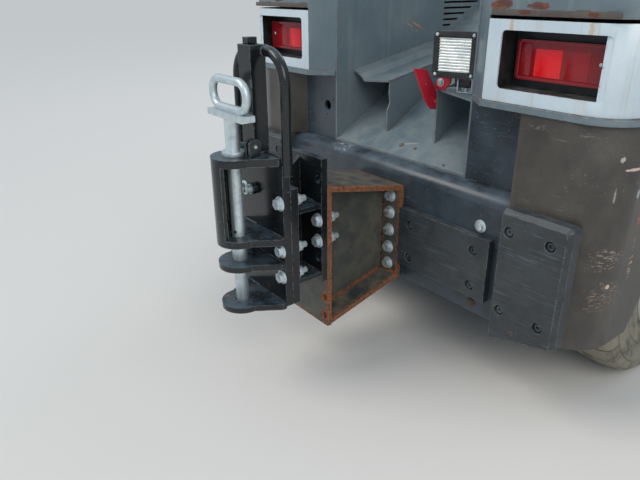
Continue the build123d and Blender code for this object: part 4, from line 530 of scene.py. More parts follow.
def added(bm, before):
    """Points that were added to the bmesh since before."""
    return [v for v in bm.verts if v not in before]


def carry(bm, before, matrix):
    """Moves what was added to the bmesh since before."""
    bmesh.ops.transform(bm, matrix=matrix, verts=added(bm, before))


def face_outwards(bm, before):
    """Turns the faces of what was added since before outwards."""
    faces = {f for v in added(bm, before) for f in v.link_faces}
    bmesh.ops.recalc_face_normals(bm, faces=list(faces))


def soften(bm, before, edge, segments=2):
    """Rounds the sharp edges of what was added since before."""
    bm.normal_update()
    sharp = [e for e in bm.edges if e.verts[0] not in before and e.is_manifold
             and e.calc_face_angle() > SHARP_FROM]
    bmesh.ops.bevel(bm, geom=sharp, offset=edge, offset_type="OFFSET", segments=segments,
                    profile=0.5, affect="EDGES", clamp_overlap=True, material=-1)


def block(bm, low, high, edge, segments=2, matrix=Matrix.Identity(4)):
    """Block between two corners with rounded edges."""
    before = set(bm.verts)
    low, high = [Vector(pick(pair) for pair in zip(low, high)) for pick in (min, max)]
    verts = bmesh.ops.create_cube(bm, size=1.0)["verts"]
    bmesh.ops.scale(bm, vec=high - low, verts=verts)
    bmesh.ops.translate(bm, vec=(low + high) / 2, verts=verts)
    soften(bm, before, edge, segments)
    carry(bm, before, matrix)


def drum(bm, radius, length, matrix, sides=32, edge=0.0):
    """Cylinder or prism that stands on its place, along its direction."""
    before = set(bm.verts)
    made = bmesh.ops.create_cone(bm, cap_ends=True, cap_tris=False, segments=sides,
                                 radius1=radius, radius2=radius, depth=length)
    bmesh.ops.translate(bm, vec=(0, 0, length / 2), verts=made["verts"])
    if edge:
        soften(bm, before, edge)
    carry(bm, before, matrix)


def lathe(bm, profile, matrix, steps=32):
    """Profile of (radius, height) points turned about its axis."""
    before = set(bm.verts)
    verts = [bm.verts.new((radius, 0, height)) for radius, height in profile]
    drawn = [bm.edges.new(pair) for pair in zip(verts, verts[1:])]
    bmesh.ops.spin(bm, geom=verts + drawn, cent=(0, 0, 0), axis=(0, 0, 1), dvec=(0, 0, 0),
                   angle=2 * pi, steps=steps, use_merge=True, use_duplicate=False)
    bmesh.ops.remove_doubles(bm, verts=added(bm, before), dist=0.001)
    face_outwards(bm, before)
    carry(bm, before, matrix)


def hexed(bm, place, direction, washer, radius, height, turn=0.0, edge=0.7):
    """Head or nut: its washer's profile, and a chamfered hexagon."""
    lathe(bm, washer, aimed(place, direction))
    drum(bm, radius, height, aimed(place, direction, turn), 6, edge)


def bar(bm, points, radius, sides=12, squash=1.0):
    """Round bar or weld bead through the points, closed at its ends."""
    before = set(bm.verts)
    rings = []
    for index, point in enumerate(points):
        ahead = Vector(points[min(index + 1, len(points) - 1)])
        behind = Vector(points[max(index - 1, 0)])
        size = radius[index] if isinstance(radius, (list, tuple)) else radius
        made = bmesh.ops.create_circle(bm, cap_ends=False, segments=sides, radius=size)["verts"]
        bmesh.ops.scale(bm, vec=(1, squash, 1), verts=made)
        bmesh.ops.transform(bm, matrix=aimed(point, ahead - behind), verts=made)
        rings.append(made)
    for near, far in zip(rings, rings[1:]):
        loops = [list({e for v in ring for e in v.link_edges
                       if e.verts[0] in ring and e.verts[1] in ring}) for ring in (near, far)]
        bmesh.ops.bridge_loops(bm, edges=loops[0] + loops[1])
    for ring in (rings[0], rings[-1]):
        bmesh.ops.contextual_create(bm, geom=ring)
    face_outwards(bm, before)


def rounded_sheet(bm, width, height, rounding, thickness, matrix, edge, opening=0.0):
    """Rounded rectangle in its own XY plane, thickness high. With an opening it is a frame
    whose strips are that wide."""
    before = set(bm.verts)
    made = bmesh.ops.create_grid(bm, x_segments=1, y_segments=1, size=0.5)["verts"]
    bmesh.ops.scale(bm, vec=(width, height, 1), verts=made)
    bmesh.ops.bevel(bm, geom=made, offset=rounding, offset_type="OFFSET", segments=6, profile=0.5,
                    affect="VERTICES", clamp_overlap=True, material=-1)
    face = next(f for f in bm.faces if not any(v in before for v in f.verts))
    if opening:
        bmesh.ops.inset_region(bm, faces=[face], use_boundary=True, use_even_offset=True,
                               thickness=opening, depth=0.0)
        bmesh.ops.delete(bm, geom=[face], context="FACES_ONLY")
    fresh = [f for f in bm.faces if not any(v in before for v in f.verts)]
    rise = bmesh.ops.extrude_face_region(bm, geom=fresh)["geom"]
    bmesh.ops.translate(bm, vec=(0, 0, thickness),
                        verts=[g for g in rise if isinstance(g, bmesh.types.BMVert)])
    face_outwards(bm, before)
    if edge:
        soften(bm, before, edge)
    carry(bm, before, matrix)


def linked(name, data):
    """Object with its data, in the scene."""
    made = bpy.data.objects.new(name, data)
    bpy.context.scene.collection.objects.link(made)
    return made


def finished(name, bm, finish, body="machine", replaces=(), sharp=SHARP_FROM,
             matrix=Matrix.Identity(4)):
    """Carries the bmesh to its place and turns it into a piece, in metres, that rides on a body;
    the place is in its mesh."""
    bmesh.ops.transform(bm, matrix=TO_METRES @ matrix, verts=bm.verts)
    mesh = bpy.data.meshes.new(name)
    bm.to_mesh(mesh)
    bm.free()
    mesh.materials.append(finish)
    mesh.shade_smooth()
    mesh.set_sharp_from_angle(angle=sharp)
    piece = linked(name, mesh)
    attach(piece, body)
    if replaces:
        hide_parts(*replaces)
    return piece


def modify(piece, name, kind, **settings):
    """Gives a piece a modifier with its settings."""
    made = piece.modifiers.new(name, kind)
    for key, value in settings.items():
        setattr(made, key, value)
    return made


# Wheels

TREAD_STEPS = 240         # round the tyre; one in LUG_STEPS is a slit between two blocks
LUG_STEPS = 8
SLIT_DEPTH = 9
WHEEL_NUTS = 8            # on the disc, one between each two of its holes
NUT_CIRCLE = 82
DISC_FACE, HUB_FACE = 30, 60         # out from the wheel's middle
VALVE = (34, 122)         # out and up from it


def tyre_profile(half, top):
    """Half of a tyre's section as (distance from the middle, radius): tread, shoulder block,
    raised ring, dusty hollow, thin ring and bead."""
    return [(half * across, top - down) for across, down in (
        (0, 0), (0.35, 0.5), (0.62, 3), (0.80, 9), (0.925, 22), (0.955, 43), (0.925, 46),
        (0.985, 49), (1, 56), (0.995, 70), (0.955, 76), (0.90, 80), (0.90, 104), (0.955, 109),
        (0.955, 122), (0.90, 127), (0.88, 150), (0.825, 176))]


def tyres():
    """Industrial tyres: slits across both shoulders, rings on the side walls."""
    for wheel, side in WHEELS:
        low, high = outline(f"tyre_{wheel}")
        half, top = (high.x - low.x) / 2, (high.z - low.z) / 2
        section = tyre_profile(half, top)
        profile = [(radius, across) for across, radius in reversed(section)]
        profile += [(radius, -across) for across, radius in section[1:]]
        bm = bmesh.new()
        lathe(bm, profile + [profile[0]], Matrix.Identity(4), TREAD_STEPS)
        slits = []
        for face in bm.faces:
            centre = face.calc_center_median()
            angle = centre.xy.angle_signed(Vector((1, 0))) % (2 * pi)
            step = int(angle / (2 * pi) * TREAD_STEPS)
            offset = LUG_STEPS // 2 if centre.z > 0 else 0
            in_tread = centre.xy.length > top - 44 and abs(centre.z) > half * 0.4
            if in_tread and (step + offset) % LUG_STEPS == 0:
                slits.append(face)
        bmesh.ops.inset_region(bm, faces=slits, use_boundary=True, use_even_offset=True,
                               thickness=0.8, depth=-SLIT_DEPTH)
        finished(f"treaded_tyre_{wheel}", bm, RUBBER, f"wheel_{wheel}", [f"tyre_{wheel}"],
                 matrix=aimed((low + high) / 2, (side, 0, 0)))


def wheel_fittings():
    """Wheel nuts with their studs, the hub's cap and the valve, on each disc."""
    for wheel, side in WHEELS:
        low, high = outline(f"wheel_{wheel}")
        middle, out = (low + high) / 2, (side, 0, 0)
        bm = bmesh.new()
        for number in range(WHEEL_NUTS):
            turn = 2 * pi * number / WHEEL_NUTS
            place = middle + Vector((side * DISC_FACE, NUT_CIRCLE * cos(turn),
                                     NUT_CIRCLE * sin(turn)))
            drum(bm, 12, 3, aimed(place, out), 24)
            drum(bm, 11, 16, aimed(place, out, number * 17), 6, 1.2)
            drum(bm, 6, 26, aimed(place, out), 16, 0.8)
        valve = middle + Vector((side * VALVE[0], 0, VALVE[1]))
        drum(bm, 4, 26, aimed(valve, (side, 0, -0.35)), 12, 1)
        finished(f"wheel_nuts_{wheel}", bm, ZINC, f"wheel_{wheel}")
        bm = bmesh.new()
        cap = middle + Vector((side * HUB_FACE, 0, 0))
        lathe(bm, [(0, 0), (46, 0), (46, 4), (40, 9), (0, 11)], aimed(cap, out), 48)
        finished(f"hub_cap_{wheel}", bm, AXLE_IRON, f"wheel_{wheel}")


# Hitch

JAW_BACK = -455           # rear face of the jaw's back plate
SPACER_REAR = -405        # front face of the spacer's rear plate
SPACER_FRONT = -324       # rear face of its front plate
BRACKET_PLATE = -286      # front face of the bracket's rear plate
BRACKET_FOOT = -6         # rear face of its front plate
BOLT_ROWS = {             # places across, the face under the heads, heights
    "jaw": (92, JAW_BACK, (382, 464, 606)),
    "spacer": (92, SPACER_FRONT, (460, 526)),
    "bracket": (66, BRACKET_FOOT, (284, 344, 406, 468, 526)),
}
LEVELS = (738, 507, 431, 301)        # upper faces of the jaw's plates
SHELVES = (361, 579)                 # of the spacer
STOP_BOLT = (-38, JAW_BACK - 14, 618)
LUG_PIN = (28, -505, 766.5)
ROLL_PIN_HEIGHT = 522
HOOP_END = (30, -442, 1001)          # where the guard hoop meets the mast


def bolts():
    """M20 flange bolts of jaw, spacer and bracket: a shallow dish in each head."""
    bm = bmesh.new()
    for row, (across, face, heights) in enumerate(BOLT_ROWS.values()):
        for number, height in enumerate(heights):
            for _, place in both((across, face, height)):
                hexed(bm, place, BACK, [(0, 0), (21.4, 0), (21.4, 2.2), (19, 4.2), (14, 5.5),
                                        (0, 5.5)], 16.6, 15, 23 * number + 11 * row)
                lathe(bm, [(0, 14), (12.4, 14), (12.4, 15.6), (9.4, 15.6), (8.8, 15.3),
                           (0, 15.3)], aimed(place, BACK))
    finished("flange_bolts", bm, ZINC, replaces=["hitch_bolts"])


def nuts():
    """Nuts inside the spacer and the bracket, on the far ends of the bolts."""
    bm = bmesh.new()
    for row, face, step in (("jaw", SPACER_REAR, 20), ("spacer", BRACKET_PLATE, 13)):
        across, _, heights = BOLT_ROWS[row]
        for number, height in enumerate(heights):
            for _, place in both((across, face, height)):
                hexed(bm, place, AHEAD, [(0, 0), (19, 0), (19, 2), (15, 4.5), (0, 4.5)],
                      16, 17, step * number)
                drum(bm, 9.5, 34, aimed(place, AHEAD), 24, 1.2)
    finished("flange_nuts", bm, ZINC)


def stop_bolt():
    """Stop bolt behind the drawbar pin, and the roll pin across the drawbar pin."""
    bm = bmesh.new()
    hexed(bm, STOP_BOLT, BACK, [(0, 0), (14, 0), (14, 3), (9, 4), (0, 4)], 12, 12, 12)
    lathe(bm, [(0, 11.5), (9, 11.5), (9, 13), (0, 13.5)], aimed(STOP_BOLT, BACK), 24)
    finished("stop_bolt", bm, ZINC)
    bm = bmesh.new()
    across = Vector((0.55, -0.83, 0)).normalized()
    low, high = outline("hitch_pin")
    centre = Vector(((low.x + high.x) / 2, (low.y + high.y) / 2, ROLL_PIN_HEIGHT))
    drum(bm, 4.2, 44, aimed(centre - across * 22, across), 16, 0.8)
    finished("roll_pin", bm, BLACK_PLASTIC, "pin")


def lug_pin():
    """Split pin across the forked lug."""
    bm = bmesh.new()
    for radius, length, sides, edge in ((4.4, 38, 20, 0.7), (7.5, 4, 24, 1)):
        drum(bm, radius, length, aimed(LUG_PIN, (1, 0, 0)), sides, edge)
    finished("lug_pin", bm, ZINC)


def weld(bm, points, width):
    """Weld bead through the points, with ripples."""
    bar(bm, points, [width * (0.50 if index % 2 else 0.42) for index in range(len(points))], 8)


def fillet(bm, start, end, width):
    """Fillet weld from start to end: a low bead whose ripples are 5 mm apart."""
    start, end = Vector(start), Vector(end)
    count = max(4, int((end - start).length / 2.5))
    weld(bm, [start.lerp(end, index / count) for index in range(count + 1)], width)


def ring_weld(bm, middle, direction, radius):
    """Weld round a bar where it meets a face."""
    matrix = aimed(middle, direction)
    count = max(16, int(2 * pi * radius / 2.5))
    turns = [2 * pi * index / count for index in range(count + 1)]
    weld(bm, [matrix @ Vector((radius * cos(a), radius * sin(a), 0)) for a in turns], 5)


# Welds on both sides, then those in the middle: start, end and width
SIDE_FILLETS = [((104, JAW_BACK - 1, top + 1), (34, JAW_BACK - 1, top + 1), 7)
                for top in LEVELS]
SIDE_FILLETS += [((outer, face, top + 1), (inner, face, top + 1), 6) for top in SHELVES
                 for outer, face, inner in ((100, SPACER_REAR + 1, 9), (9, SPACER_FRONT - 1, 70))]
SIDE_FILLETS += [((7, SPACER_REAR + 1, 364), (7, SPACER_REAR + 1, 562), 6),
                 ((33, BRACKET_PLATE + 1, 184), (33, BRACKET_PLATE + 1, 606), 7),
                 ((33, BRACKET_FOOT - 1, 266), (33, BRACKET_FOOT - 1, 546), 7),
                 ((31, -443, 739), (31, -487, 739), 6), ((109, -434, 690), (109, -434, 735), 7)]
MIDDLE_FILLETS = [((-30, -489, 739), (30, -489, 739), 6),
                  ((30.5, -488.5, 806), (30.5, -488.5, 836), 6),
                  ((30.5, -488.5, 908), (30.5, -488.5, 932), 6)]


def welds():
    """Weld beads where plates and bars meet on jaw, spacer and bracket."""
    bm = bmesh.new()
    for start, end, width in SIDE_FILLETS:
        for (_, near), (_, far) in zip(both(start), both(end)):
            fillet(bm, near, far, width)
    for side, place in both(HOOP_END):
        ring_weld(bm, place, (side, 0, 0), 14)
    for start, end, width in MIDDLE_FILLETS:
        fillet(bm, start, end, width)
    finished("weld_beads", bm, HITCH_BLACK)


# Rear bodywork

PAD_SCREWS = {            # (across, height) of the screws, and their counterbores' floor
    "beam": (((163, 340), (163, 452), (410, 340), (410, 452)), 1),
    "corner": (((540, 326), (540, 559), (660, 326), (660, 559)), -29),
}
BEAM_BOLT = (414, 10, 524)
LOWER_BEAM_BOLT = (408, 10, 274)
DECK_STRIP = ((385, -2.5, 1083.5), (712, 1, 1097))   # its corners, and its weld beads above it
STRIP_BEADS = ((388, 420), (610, 640))
BEAD_HEIGHT = 1098
FLOOR_SLOPE = radians(30)            # of the chute
FLOOR_BOLTS = ((-4, 104, 660, 9), (58, 104, 660, 6), (208, 74, 643, 4))      # place and radius
WALL_RIVET = (297, 278, 771)
TAB_BOLT = (127, 126, 878)


def pad_screws():
    """Socket screws sunk in the rubbing plates, and the bolts of the beam beside them."""
    bm = bmesh.new()
    for places, floor in PAD_SCREWS.values():
        for x, z in places:
            for _, place in both((x, floor, z)):
                lathe(bm, [(0, 0), (11, 0), (11, 5.6), (9.46, 8), (5.72, 8), (5.5, 3.2), (0, 3.2)],
                      aimed(place, BACK))
    finished("pad_screws", bm, PAD_BLACK)
    bm = bmesh.new()
    for _, place in both(BEAM_BOLT):
        lathe(bm, [(0, 0), (19, 0), (19, 2.4), (18, 3), (0, 3)], aimed(place, BACK), 40)
        drum(bm, 12.5, 11, aimed(place, BACK, 8), 6, 0.7)
    finished("beam_bolts", bm, ZINC)
    bm = bmesh.new()
    for _, place in both(LOWER_BEAM_BOLT):
        lathe(bm, [(0, 0), (14, 0), (14, 3), (9, 3.5), (9, 6), (0, 7)], aimed(place, BACK))
    finished("lower_beam_bolts", bm, AXLE_IRON)


def deck_strips():
    """Flat bars under the deck's rear edge, over the lamp panels."""
    for word, side in SIDES:
        bm = bmesh.new()
        block(bm, *[(side * x, y, z) for x, y, z in DECK_STRIP], 1.2)
        for start, end in STRIP_BEADS:
            fillet(bm, (side * start, -1, BEAD_HEIGHT), (side * end, -1, BEAD_HEIGHT), 4)
        finished(f"deck_strip_{word}", bm, STRIP_IRON)


def chute_fittings():
    """Brown bolt ends on the chute's floor, a rivet on each wall and the stop tab's bolt."""
    bm = bmesh.new()
    for x, y, z, radius in FLOOR_BOLTS:
        lathe(bm, [(radius, -3), (radius, 1.5), (radius * 0.7, 4), (0, 5)],
              aimed((x, y, z), (0, -sin(FLOOR_SLOPE), cos(FLOOR_SLOPE))), 20)
    finished("floor_bolt_ends", bm, STRIP_IRON)
    bm = bmesh.new()
    for side, place in both(WALL_RIVET):
        lathe(bm, [(7, -1), (7, 1), (5, 3.2), (0, 4.2)], aimed(place, (-side, 0, 0)), 24)
    finished("wall_rivets", bm, SLATE)
    bm = bmesh.new()
    hexed(bm, TAB_BOLT, BACK, [(0, 0), (13.5, 0), (13.5, 2), (10, 3), (0, 3)], 11, 9.5, 20, 1.6)
    finished("tab_bolt", bm, ZINC)


# Lamps

LAMP_PLACE = (200, 90, 966)          # middle of the work lamp's face
LAMP_TURN = 18            # degrees to the right
LAMP_SIZE = 130
LENS_HALF, LENS_RIBS = 49, 12
RIB_STEPS = 6             # faces across each rib
FINS, FIN_PITCH = 7, 11
STRAP = (8, 52)           # its two sides, to the right of the lamp's middle
STRAP_LOW, STRAP_HIGH = -109, -65
REFLEX_SQUARES = ((491, 563, REFLEX), (574, 634, REFLEX_DIM))
REFLEX_LOW, REFLEX_HIGH = 942, 1008
REAR_LAMP_LENGTH = 238
REAR_LAMP_SCREW = (660, 984)         # across and up
AMBER_DROP = 130          # from a headlamp's middle down to the amber lamp's
FLUTES = 9                # of the headlamps' lenses


def work_lamp():
    """Square work lamp: tapered finned housing, bezel with four screws, ribbed lens and strap."""
    turned = (Matrix.Translation(LAMP_PLACE) @ Matrix.Rotation(radians(LAMP_TURN), 4, "Z")
              @ Matrix.Rotation(radians(90), 4, "X"))
    # From here +Z points out of the lamp's face, +X to its right and +Y up
    bm = bmesh.new()
    before = set(bm.verts)
    rounded_sheet(bm, LAMP_SIZE - 12, LAMP_SIZE - 12, 13, 50, Matrix.Translation((0, 0, -70)), 0)
    bmesh.ops.scale(bm, vec=(0.77, 0.77, 1), verts=[v for v in bm.verts if v.co.z < -60])
    soften(bm, before, 4, 3)
    for number in range(FINS):
        x = (number - FINS // 2) * FIN_PITCH
        block(bm, (x - 1.5, -36, -75), (x + 1.5, 36, -66), 1)
    block(bm, (-5, -94, -50), (45, -45, -32), 3)
    finished("work_lamp_housing", bm, BLACK_PLASTIC, replaces=["work_lamp"], matrix=turned)
    bm = bmesh.new()
    for size, rounding, deep, back, edge, strip in ((LAMP_SIZE, 14, 20, -20, 2.4, 15),
                                                    (LAMP_SIZE - 26, 8, 5, -9, 1, 5)):
        rounded_sheet(bm, size, size, rounding, deep, Matrix.Translation((0, 0, back)), edge,
                      strip)
    finished("work_lamp_bezel", bm, BLACK_PLASTIC, matrix=turned)
    bm = bmesh.new()
    steps = LENS_RIBS * RIB_STEPS
    ridge = [bm.verts.new((-LENS_HALF, (2 * index / steps - 1) * LENS_HALF,
                           -5.5 + 1.8 * abs(sin(pi * index / RIB_STEPS))))
             for index in range(steps + 1)]
    line = [bm.edges.new(pair) for pair in zip(ridge, ridge[1:])]
    drawn = bmesh.ops.extrude_edge_only(bm, edges=line)["geom"]
    bmesh.ops.translate(bm, vec=(2 * LENS_HALF, 0, 0),
                        verts=[g for g in drawn if isinstance(g, bmesh.types.BMVert)])
    bmesh.ops.recalc_face_normals(bm, faces=bm.faces)
    if sum(f.normal.z for f in bm.faces) < 0:
        bmesh.ops.reverse_faces(bm, faces=bm.faces)
    bmesh.ops.solidify(bm, geom=bm.faces[:], thickness=2.5)
    finished("work_lamp_lens", bm, LAMP_LENS, sharp=radians(60), matrix=turned)
    bm = bmesh.new()
    corner = LAMP_SIZE / 2 - 9.5
    for x in (-corner, corner):
        for y in (-corner, corner):
            lathe(bm, [(0, 0), (5.2, 0), (5.2, 1.4), (3.4, 3.2), (1.2, 3.4), (0, 2.4)],
                  Matrix.Translation((x, y, -1)), 20)
    for y in (STRAP_LOW, STRAP_HIGH - 4):
        block(bm, (STRAP[0], y, -56), (STRAP[1], y + 4, -26), 1)
    for x in STRAP:
        block(bm, (x - 2, STRAP_LOW, -56), (x + 2, STRAP_HIGH, -26), 1)
    drum(bm, 8, 10, aimed((sum(STRAP) / 2, STRAP_LOW + 4, -41), AHEAD), 6, 1)
    finished("work_lamp_strap", bm, ZINC, matrix=turned)


def rear_lamps():
    """Red lamps: moulded body with a raised border, reflex squares, a raised block at the inner end and a screw.
    """
    low, high = outline("rear_lamps")
    near, far, rear = high.x - REAR_LAMP_LENGTH, high.x, low.y
    for word, side in SIDES:
        bm = bmesh.new()
        block(bm, (side * near, rear + 7, low.z), (side * far, high.y, high.z), 5, 3)
        middle = (side * (near + far) / 2, rear + 8, (low.z + high.z) / 2)
        rounded_sheet(bm, far - near, high.z - low.z, 8, 4, aimed(middle, BACK), 1.5, 8)
        block(bm, (side * (near + 9), rear + 5, low.z + 9),
              (side * (near + 40), high.y - 2, high.z - 9), 2)
        finished(f"rear_lamp_{word}", bm, RED_LENS, replaces=["rear_lamps"])
        for number, (left, right, finish) in enumerate(REFLEX_SQUARES):
            bm = bmesh.new()
            block(bm, (side * left, rear + 6.2, REFLEX_LOW),
                  (side * right, rear + 12, REFLEX_HIGH), 0.4)
            finished(f"reflex_square_{word}_{number}", bm, finish)
        bm = bmesh.new()
        lathe(bm, [(0, 0), (4.5, 0), (4.5, 1.2), (2.6, 2.6), (0, 1.8)],
              aimed((side * REAR_LAMP_SCREW[0], rear + 7, REAR_LAMP_SCREW[1]), BACK), 20)
        finished(f"rear_lamp_screw_{word}", bm, ZINC)


def headlamps():
    """Round headlamps: rim, bowl and fluted lens, and the amber lamps under them."""
    low, high = outline("headlamps")
    radius = (high.z - low.z) / 2
    for word, side in SIDES:
        centre = Vector((side * (high.x - radius), high.y - 8, (low.z + high.z) / 2))
        matrix = aimed(centre, AHEAD)
        bm = bmesh.new()
        lathe(bm, [(radius * 0.80, -30), (radius, -30), (radius, 4), (radius * 0.97, 8),
                   (radius * 0.90, 8), (radius * 0.86, 3), (radius * 0.80, -2),
                   (radius * 0.80, -30)], matrix, 64)
        finished(f"headlamp_rim_{word}", bm, CHROME, replaces=["headlamps"])
        bm = bmesh.new()
        lathe(bm, [(0, -2), (radius * 0.5, -0.5), (radius * 0.85, -3), (radius * 0.85, -6),
                   (radius * 0.5, -3.5), (0, -5)], matrix, 64)
        for number in range(FLUTES):
            x = (number - FLUTES // 2) * radius * 0.18
            reach = (0.72 * radius ** 2 - x * x) ** 0.5 * 0.94
            bar(bm, [matrix @ Vector((x, y, z)) for y, z in ((-reach, -2.2), (0, -0.6),
                                                             (reach, -2.2))], 1.6, 8)
        finished(f"headlamp_lens_{word}", bm, LAMP_LENS)
        bm = bmesh.new()
        place = centre - Vector((0, 0, AMBER_DROP))
        rounded_sheet(bm, 118, 46, 12, 12, aimed(place, AHEAD), 2)
        finished(f"amber_lamp_{word}", bm, AMBER_LENS)


# Cab

STEERING_RADIUS, GRIP = 175, 14
SPOKES = (90, 210, 330)   # degrees
SEAT_BLOCKS = [           # half width, rear, front, bottom, top and rounding; the bellows last
    (200, 10, 370, 0, 90, 10), (165, 40, 340, 80, 225, 12), (235, 5, 405, 222, 262, 12),
    *[(178, 28, 352, z, z + 13, 5) for z in range(100, 200, 24)]]
SWELL = 2.6               # pressure in the cushions, and the most that it moves a point
MOST_SWELL = 12 * MM
MIRROR_WIDTH, MIRROR_DEPTH = 160, 30
MIRROR_ARM = ((POST_FACE, 7), (800, 7), (840, 12), (850, 20))        # across, and ahead of its rear
ARM_HEIGHT = 157          # above the mirror's lower edge
REAR_WINDOW = (1120, 660, 1570)      # width, height and the height of its middle
SEAL_WIDTH = 16
HANDLE_HEIGHT = 1070
GRAB_ENDS = (980, 1420)
STEP_INNER, STEP_OUTER, STEP_REAR, STEP_TOP = 612, 758, 1530, 325.5
TREAD_BARS, TREAD_PITCH = 9, 42      # of each step
WIPER_FOOT = (-180, 1196)            # across and up
WIPER_REACH = (150, 430)             # across, and up the glass
BLADE_HALF = 210
GLASS_LEAN = (0, -138, 808)          # from the windscreen's foot to its top
PEDALS, PEDAL_FACE, PEDAL_FOOT = (110, 210), 2372, 660      # across, ahead and up
LID_TOP = 1140
BUMPER_FACE = 2938
BUMPER_BOLTS = [(x, BUMPER_FACE, z) for x in (-480, -240, 240, 480) for z in (345, 465)]


def steering_wheel():
    """Moulded steering wheel: padded rim, three spokes and a dished cap."""
    joint = next(j for j in frame["joints"] if j["name"] == "steering_turn")
    axis = Vector(joint["axis"])
    matrix = aimed(TO_MM @ Vector(joint["pos_m"]), axis if axis.z > 0 else -axis)
    bm = bmesh.new()
    turns = [2 * pi * number / 16 for number in range(17)]
    lathe(bm, [(STEERING_RADIUS + GRIP * cos(a), GRIP * sin(a)) for a in turns], matrix, 72)
    lathe(bm, [(0, -20), (24, -20), (40, -10), (42, 10), (34, 19), (20, 16), (0, 15)], matrix, 48)
    for turn in SPOKES:
        block(bm, (34, -14, -6), (STEERING_RADIUS - 8, 14, 5), 4, 3,
              matrix @ Matrix.Rotation(radians(turn), 4, "Z"))
    finished("steering_wheel_moulding", bm, DARK_PLASTIC, "steering", ["steering_wheel"])


def bake_modifiers(piece):
    """Replaces a piece's mesh by what its modifiers make of it."""
    graph = bpy.context.evaluated_depsgraph_get()
    made = bpy.data.meshes.new_from_object(piece.evaluated_get(graph))
    piece.modifiers.clear()
    piece.data = made
    made.shade_smooth()


def cushion(name, low, high, turn=Matrix.Identity(4)):
    """Padded cushion blown up as cloth from a slightly smaller block."""
    inset = Vector((9, 9, 9))
    bm = bmesh.new()
    block(bm, Vector(low) + inset, Vector(high) - inset, 22, 4, turn)
    piece = finished(name, bm, CLOTH)
    modify(piece, "remesh", "REMESH", mode="VOXEL", voxel_size=6 * MM,
           use_smooth_shade=True)
    bpy.context.view_layer.update()
    bake_modifiers(piece)
    rest = [v.co.copy() for v in piece.data.vertices]
    puff = modify(piece, "puff", "CLOTH").settings
    puff.use_pressure = True
    puff.uniform_pressure_force = SWELL
    puff.effector_weights.gravity = 0.0
    puff.quality = 5
    scene = bpy.context.scene
    for number in range(1, 21):
        scene.frame_set(number)
    bake_modifiers(piece)
    for vertex, start in zip(piece.data.vertices, rest):
        moved = vertex.co - start
        if moved.length > MOST_SWELL:
            vertex.co = start + moved.normalized() * MOST_SWELL
    scene.frame_set(1)
    modify(piece, "smooth", "SUBSURF", levels=1, render_levels=1)


def seat():
    """Driver's seat: moulded pedestal and two cloth cushions."""
    corner = outline("seat")[0]
    floor, rear = corner.z, corner.y + 30
    bm = bmesh.new()
    for half, near, far, low, high, edge in SEAT_BLOCKS:
        block(bm, (-half, rear + near, floor + low), (half, rear + far, floor + high), edge, 3)
    finished("seat_pedestal", bm, DARK_PLASTIC, replaces=["seat"])
    cushion("seat_cushion", (-245, rear, floor + 258), (245, rear + 415, floor + 372))
    foot = Matrix.Translation((0, rear + 50, floor + 344))
    cushion("seat_back", (-232, rear - 2, floor + 350), (232, rear + 96, floor + 905),
            foot @ Matrix.Rotation(radians(4), 4, "X") @ foot.inverted())


def mirrors():
    """Rear-view mirrors: bent tube arm and a shell with its glass let in."""
    low, high = outline("mirrors")
    for word, side in SIDES:
        bm = bmesh.new()
        inner, outer = side * (high.x - MIRROR_WIDTH), side * high.x
        block(bm, (inner, high.y - MIRROR_DEPTH, low.z), (outer, high.y, high.z), 12, 4)
        bar(bm, [(side * x, low.y + y, low.z + ARM_HEIGHT) for x, y in MIRROR_ARM], 7, 16)
        finished(f"mirror_{word}", bm, BLACK_PLASTIC, replaces=["mirrors"])
        bm = bmesh.new()
        middle = ((inner + outer) / 2, high.y - MIRROR_DEPTH + 2, (low.z + high.z) / 2)
        rounded_sheet(bm, MIRROR_WIDTH - 16, high.z - low.z - 16, 8, 3, aimed(middle, BACK), 0.8)
        finished(f"mirror_glass_{word}", bm, MIRROR)


def pane_seals():
    """Rubber seals round the rear window and the door windows."""
    wide, tall, middle = REAR_WINDOW
    bm = bmesh.new()
    rounded_sheet(bm, wide, tall, 50, 7, aimed((0, outline("cab_shell")[0].y + 4, middle), BACK),
                  2, SEAL_WIDTH)
    finished("rear_window_seal", bm, BLACK_PLASTIC)
    for word, side in SIDES:
        low, high = outline(f"door_glass_{word}")
        across, middle = high - low, (low + high) / 2
        bm = bmesh.new()
        rounded_sheet(bm, across.z + 12, across.y + 12, 44, 5,
                      sideways(side * (DOOR_FACE - 2), middle.y, middle.z, side), 1.5, SEAL_WIDTH)
        finished(f"door_window_seal_{word}", bm, BLACK_PLASTIC, f"door_{word}")


def door_handles():
    """Lever handles on their escutcheons, at the rear edge of the doors."""
    for word, side in SIDES:
        y, z, out = outline(f"door_{word}")[0].y + 62, HANDLE_HEIGHT, (side, 0, 0)
        bm = bmesh.new()
        rounded_sheet(bm, 46, 128, 14, 5, sideways(side * (DOOR_FACE - 1), y, z, side)
                      @ Matrix.Rotation(radians(90), 4, "Z"), 1.5)
        drum(bm, 12, 17, aimed((side * DOOR_FACE, y - 34, z), out), 24, 2)
        bar(bm, [(side * (DOOR_FACE + 15), y - 34, z), (side * (DOOR_FACE + 17), y + 10, z - 1),
                 (side * (DOOR_FACE + 17), y + 66, z - 3)], [9, 8, 6], 16, 0.7)
        drum(bm, 7, 4, aimed((side * (DOOR_FACE + 4), y + 42, z - 17), out), 20, 1)
        finished(f"door_handle_{word}", bm, BLACK_PLASTIC, f"door_{word}")


